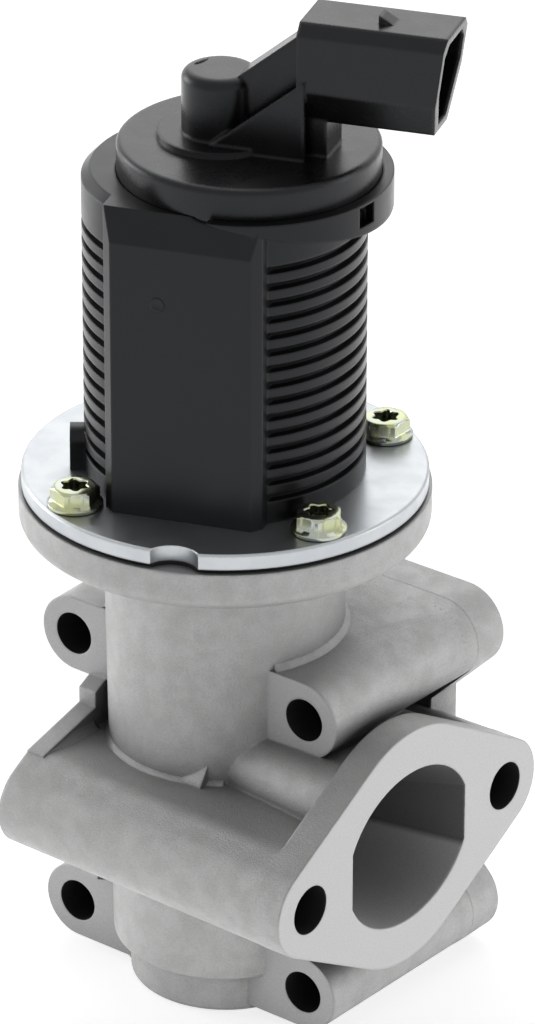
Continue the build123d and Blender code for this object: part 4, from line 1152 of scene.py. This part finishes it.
@dataclass(frozen=True)
class MouldMark:
    """A low mark that the mould leaves: an oval of two half axes with a profile from middle to rim."""

    centre: tuple[float, float, float]
    normal: tuple[float, float, float]
    along: tuple[float, float, float]
    half_axes: tuple[float, float]
    profile: tuple[tuple[float, float], ...]
    around: int = 48

    def skin(self, sink: float = 0.2 * MM) -> np.ndarray:
        """Turns the profile into an oval.

        Each ring is the centre plus the share of both half axes times the cosine and the sine of the
        angle, lifted along the normal; the last rows close it under the surface.

        Args:
            sink: how far the underside lies inside the wall.
        Returns:
            A grid of shape (rows, around, 3) in metres.
        """
        up = np.array(self.normal) / np.linalg.norm(self.normal)
        along = np.array(self.along) / np.linalg.norm(self.along)
        across = np.cross(up, along)
        angle = np.arange(self.around) / self.around * math.tau
        oval = self.half_axes[0] * np.cos(angle)[:, None] * along
        oval = oval + self.half_axes[1] * np.sin(angle)[:, None] * across
        rows = np.array(self.profile + ((1.0, -sink), (0.0, -sink)))[:, :, None, None]
        return np.array(self.centre) + rows[:, 0] * oval + rows[:, 1] * up


@dataclass
class Solenoid:
    """Finned moulding and the magnet inside it."""

    ejector_mark: MouldMark = MouldMark(
        (4.99 * MM, -25.68 * MM, 112.5 * MM),
        (0.35, -0.937, 0.0),
        (0.0, 0.0, 1.0),
        (1.5 * MM, 1.5 * MM),
        ((0.0, 0.01 * MM), (0.62, 0.01 * MM), (0.78, 0.05 * MM), (0.9, 0.05 * MM), (1.0, 0.0)),
    )

    def build(self) -> None:
        """Dresses the moulding, can, pole, tube, bobbin and winding."""
        moulding = BLACK_MOULDING.build()
        dress(("solenoid_shell",), moulding)
        surface("panel_mark", [self.ejector_mark.skin()], "housing", moulding)
        dress(("yoke_can", "flux_plate", "pole_core", "guide_tube"), MAGNET_IRON.build())
        dress(("coil_bobbin",), BOBBIN.build())
        dress(("coil_winding",), COPPER.build())


@dataclass
class SensorHead:
    """Cover with tower and plug socket, and the position sensor under it."""

    tower_mark: MouldMark = MouldMark(
        (-5.3 * MM, -0.1 * MM, 148.9 * MM),
        (0.0, 0.0, 1.0),
        (0.09, 1.0, 0.0),
        (1.9 * MM, 0.4 * MM),
        ((0.0, 0.22 * MM), (0.5, 0.21 * MM), (0.8, 0.15 * MM), (1.0, 0.0)),
    )

    def build(self) -> None:
        """Dresses the cover, seal, track, plunger, wiper and terminals."""
        cover = BLACK_COVER.build()
        dress(("sensor_cover",), cover)
        surface("tower_mark", [self.tower_mark.skin()], "housing", cover)
        dress(("cover_seal", "stem_seal"), RUBBER.build())
        dress(("sensor_track",), TRACK.build())
        dress(("sensor_plunger",), BOBBIN.build())
        dress(("sensor_wiper", "terminal_pins"), TINNED.build())


# ------------------------------------------------------------------------------------------ studio
@dataclass(frozen=True)
class Lamp:
    """A square soft box: where it stands, how large it is and how strong; the last lies on the table."""

    name: str
    place: tuple[float, float, float]
    size: float
    power: float


@dataclass
class Studio:
    """Pale floor, white surroundings, soft boxes and the camera."""

    floor_level: float = -38.6 * MM
    floor_half: float = 6.0
    floor_grey: float = 0.82
    azimuth: float = 38.391
    elevation: float = 26.615
    roll: float = 0.084
    distance: float = 1167.72 * MM
    focal_pixels: float = 6273.233
    aim_right: float = 7.886 * MM
    aim_up: float = -9.107 * MM
    aim_level: float = 69.5 * MM
    frame_height: int = 1024
    sensor: float = 36.0
    floor_white: float = 0.72
    world_strength: float = 0.06
    lamps: tuple[Lamp, ...] = (
        Lamp("right_low_box", (1.5, 1.2, 0.3), 1.0, 9.5),
        Lamp("left_low_box", (-1.7, -0.4, 0.3), 1.0, 16.0),
        Lamp("left_back_box", (-1.4, 0.9, 0.9), 2.0, 5.5),
        Lamp("back_high_box", (-0.5, 1.4, 1.6), 2.6, 17.5),
        Lamp("table_box", (0.0, 0.0, -38.5 * MM), 1.6, 4.2),
    )

    def build(self) -> None:
        """Sets up the whole studio."""
        bpy.context.scene.view_settings.view_transform = "Standard"
        self.floor()
        self.world()
        for lamp in self.lamps:
            self.soft_box(lamp)
        self.camera()

    def floor(self) -> None:
        """Lays the floor, a pale flat sheet a few metres wide that the camera and gloss see whiter."""
        half = self.floor_half
        mesh = bpy.data.meshes.new("floor")
        corners = [(-half, -half, 0), (half, -half, 0), (half, half, 0), (-half, half, 0)]
        mesh.from_pydata([(x, y, self.floor_level) for x, y, _ in corners], [], [(0, 1, 2, 3)])
        floor = bpy.data.objects.new("floor", mesh)
        bpy.context.scene.collection.objects.link(floor)
        material = bpy.data.materials.new("floor_white")
        material.use_nodes = True
        graph = Graph(material.node_tree)
        shader = material.node_tree.nodes["Principled BSDF"]
        shader.inputs["Base Color"].default_value = (*grey(self.floor_grey), 1.0)
        shader.inputs["Roughness"].default_value = 0.9
        shader.inputs["Specular IOR Level"].default_value = 0.1
        shader.inputs["Emission Color"].default_value = (1.0, 1.0, 1.0, 1.0)
        path = graph.node("ShaderNodeLightPath")
        seen = graph.maths("MAXIMUM", path.outputs["Is Camera Ray"], path.outputs["Is Glossy Ray"])
        graph.feed(shader.inputs["Emission Strength"], graph.maths("MULTIPLY", seen, self.floor_white))
        mesh.materials.append(material)

    def world(self) -> None:
        """Makes the surroundings white to the camera and in reflections, and softer as a light."""
        world = bpy.data.worlds.new("studio")
        bpy.context.scene.world = world
        world.use_nodes = True
        graph = Graph(world.node_tree)
        background = world.node_tree.nodes["Background"]
        path = graph.node("ShaderNodeLightPath")
        seen = graph.maths("MAXIMUM", path.outputs["Is Camera Ray"], path.outputs["Is Glossy Ray"])
        seen = graph.maths("MAXIMUM", seen, path.outputs["Is Transmission Ray"])
        background.inputs["Color"].default_value = (1.0, 1.0, 1.0, 1.0)
        graph.feed(background.inputs["Strength"], graph.span(seen, 0.0, 1.0, self.world_strength, 1.0))

    def soft_box(self, lamp: Lamp) -> None:
        """Hangs a soft box that looks at the middle of the valve.

        Args:
            lamp: what to hang.
        """
        data = bpy.data.lights.new(lamp.name, "AREA")
        data.shape = "SQUARE"
        data.size = lamp.size
        data.energy = lamp.power
        box = bpy.data.objects.new(lamp.name, data)
        bpy.context.scene.collection.objects.link(box)
        middle = Vector((0.0, 0.0, self.aim_level))
        box.location = lamp.place
        box.rotation_euler = (middle - Vector(lamp.place)).to_track_quat("-Z", "Y").to_euler()
        box.visible_camera = False

    def camera(self) -> None:
        """Stands the camera off along its azimuth and elevation.

        The direction to the camera is t, its right is r and its up is u = t x r, turned by the roll.
        """
        azimuth, elevation, roll = (math.radians(a) for a in (self.azimuth, self.elevation, self.roll))
        towards = Vector(
            (
                math.sin(azimuth) * math.cos(elevation),
                -math.cos(azimuth) * math.cos(elevation),
                math.sin(elevation),
            )
        )
        right = Vector((math.cos(azimuth), math.sin(azimuth), 0.0))
        up = towards.cross(right)
        aim = Vector((0.0, 0.0, self.aim_level)) + right * self.aim_right + up * self.aim_up
        rolled_right = right * math.cos(roll) + up * math.sin(roll)
        rolled_up = up * math.cos(roll) - right * math.sin(roll)
        data = bpy.data.cameras.new("camera")
        data.sensor_width = self.sensor
        data.lens = self.focal_pixels * self.sensor / self.frame_height
        data.clip_start = 0.05
        data.clip_end = 50.0
        camera = bpy.data.objects.new("camera", data)
        bpy.context.scene.collection.objects.link(camera)
        turn = Matrix((rolled_right, rolled_up, towards)).transposed().to_4x4()
        camera.matrix_world = Matrix.Translation(aim + towards * self.distance) @ turn
        bpy.context.scene.camera = camera


def main() -> None:
    """Builds every sub-assembly and the studio."""
    logging.basicConfig(level=logging.INFO, format="%(name)s: %(message)s")
    for assembly in (Casting(), ValveTrain(), PlateAndScrews(), Solenoid(), SensorHead(), Studio()):
        assembly.build()
        LOG.info("%s done", type(assembly).__name__)


if __name__ == "__main__":
    main()
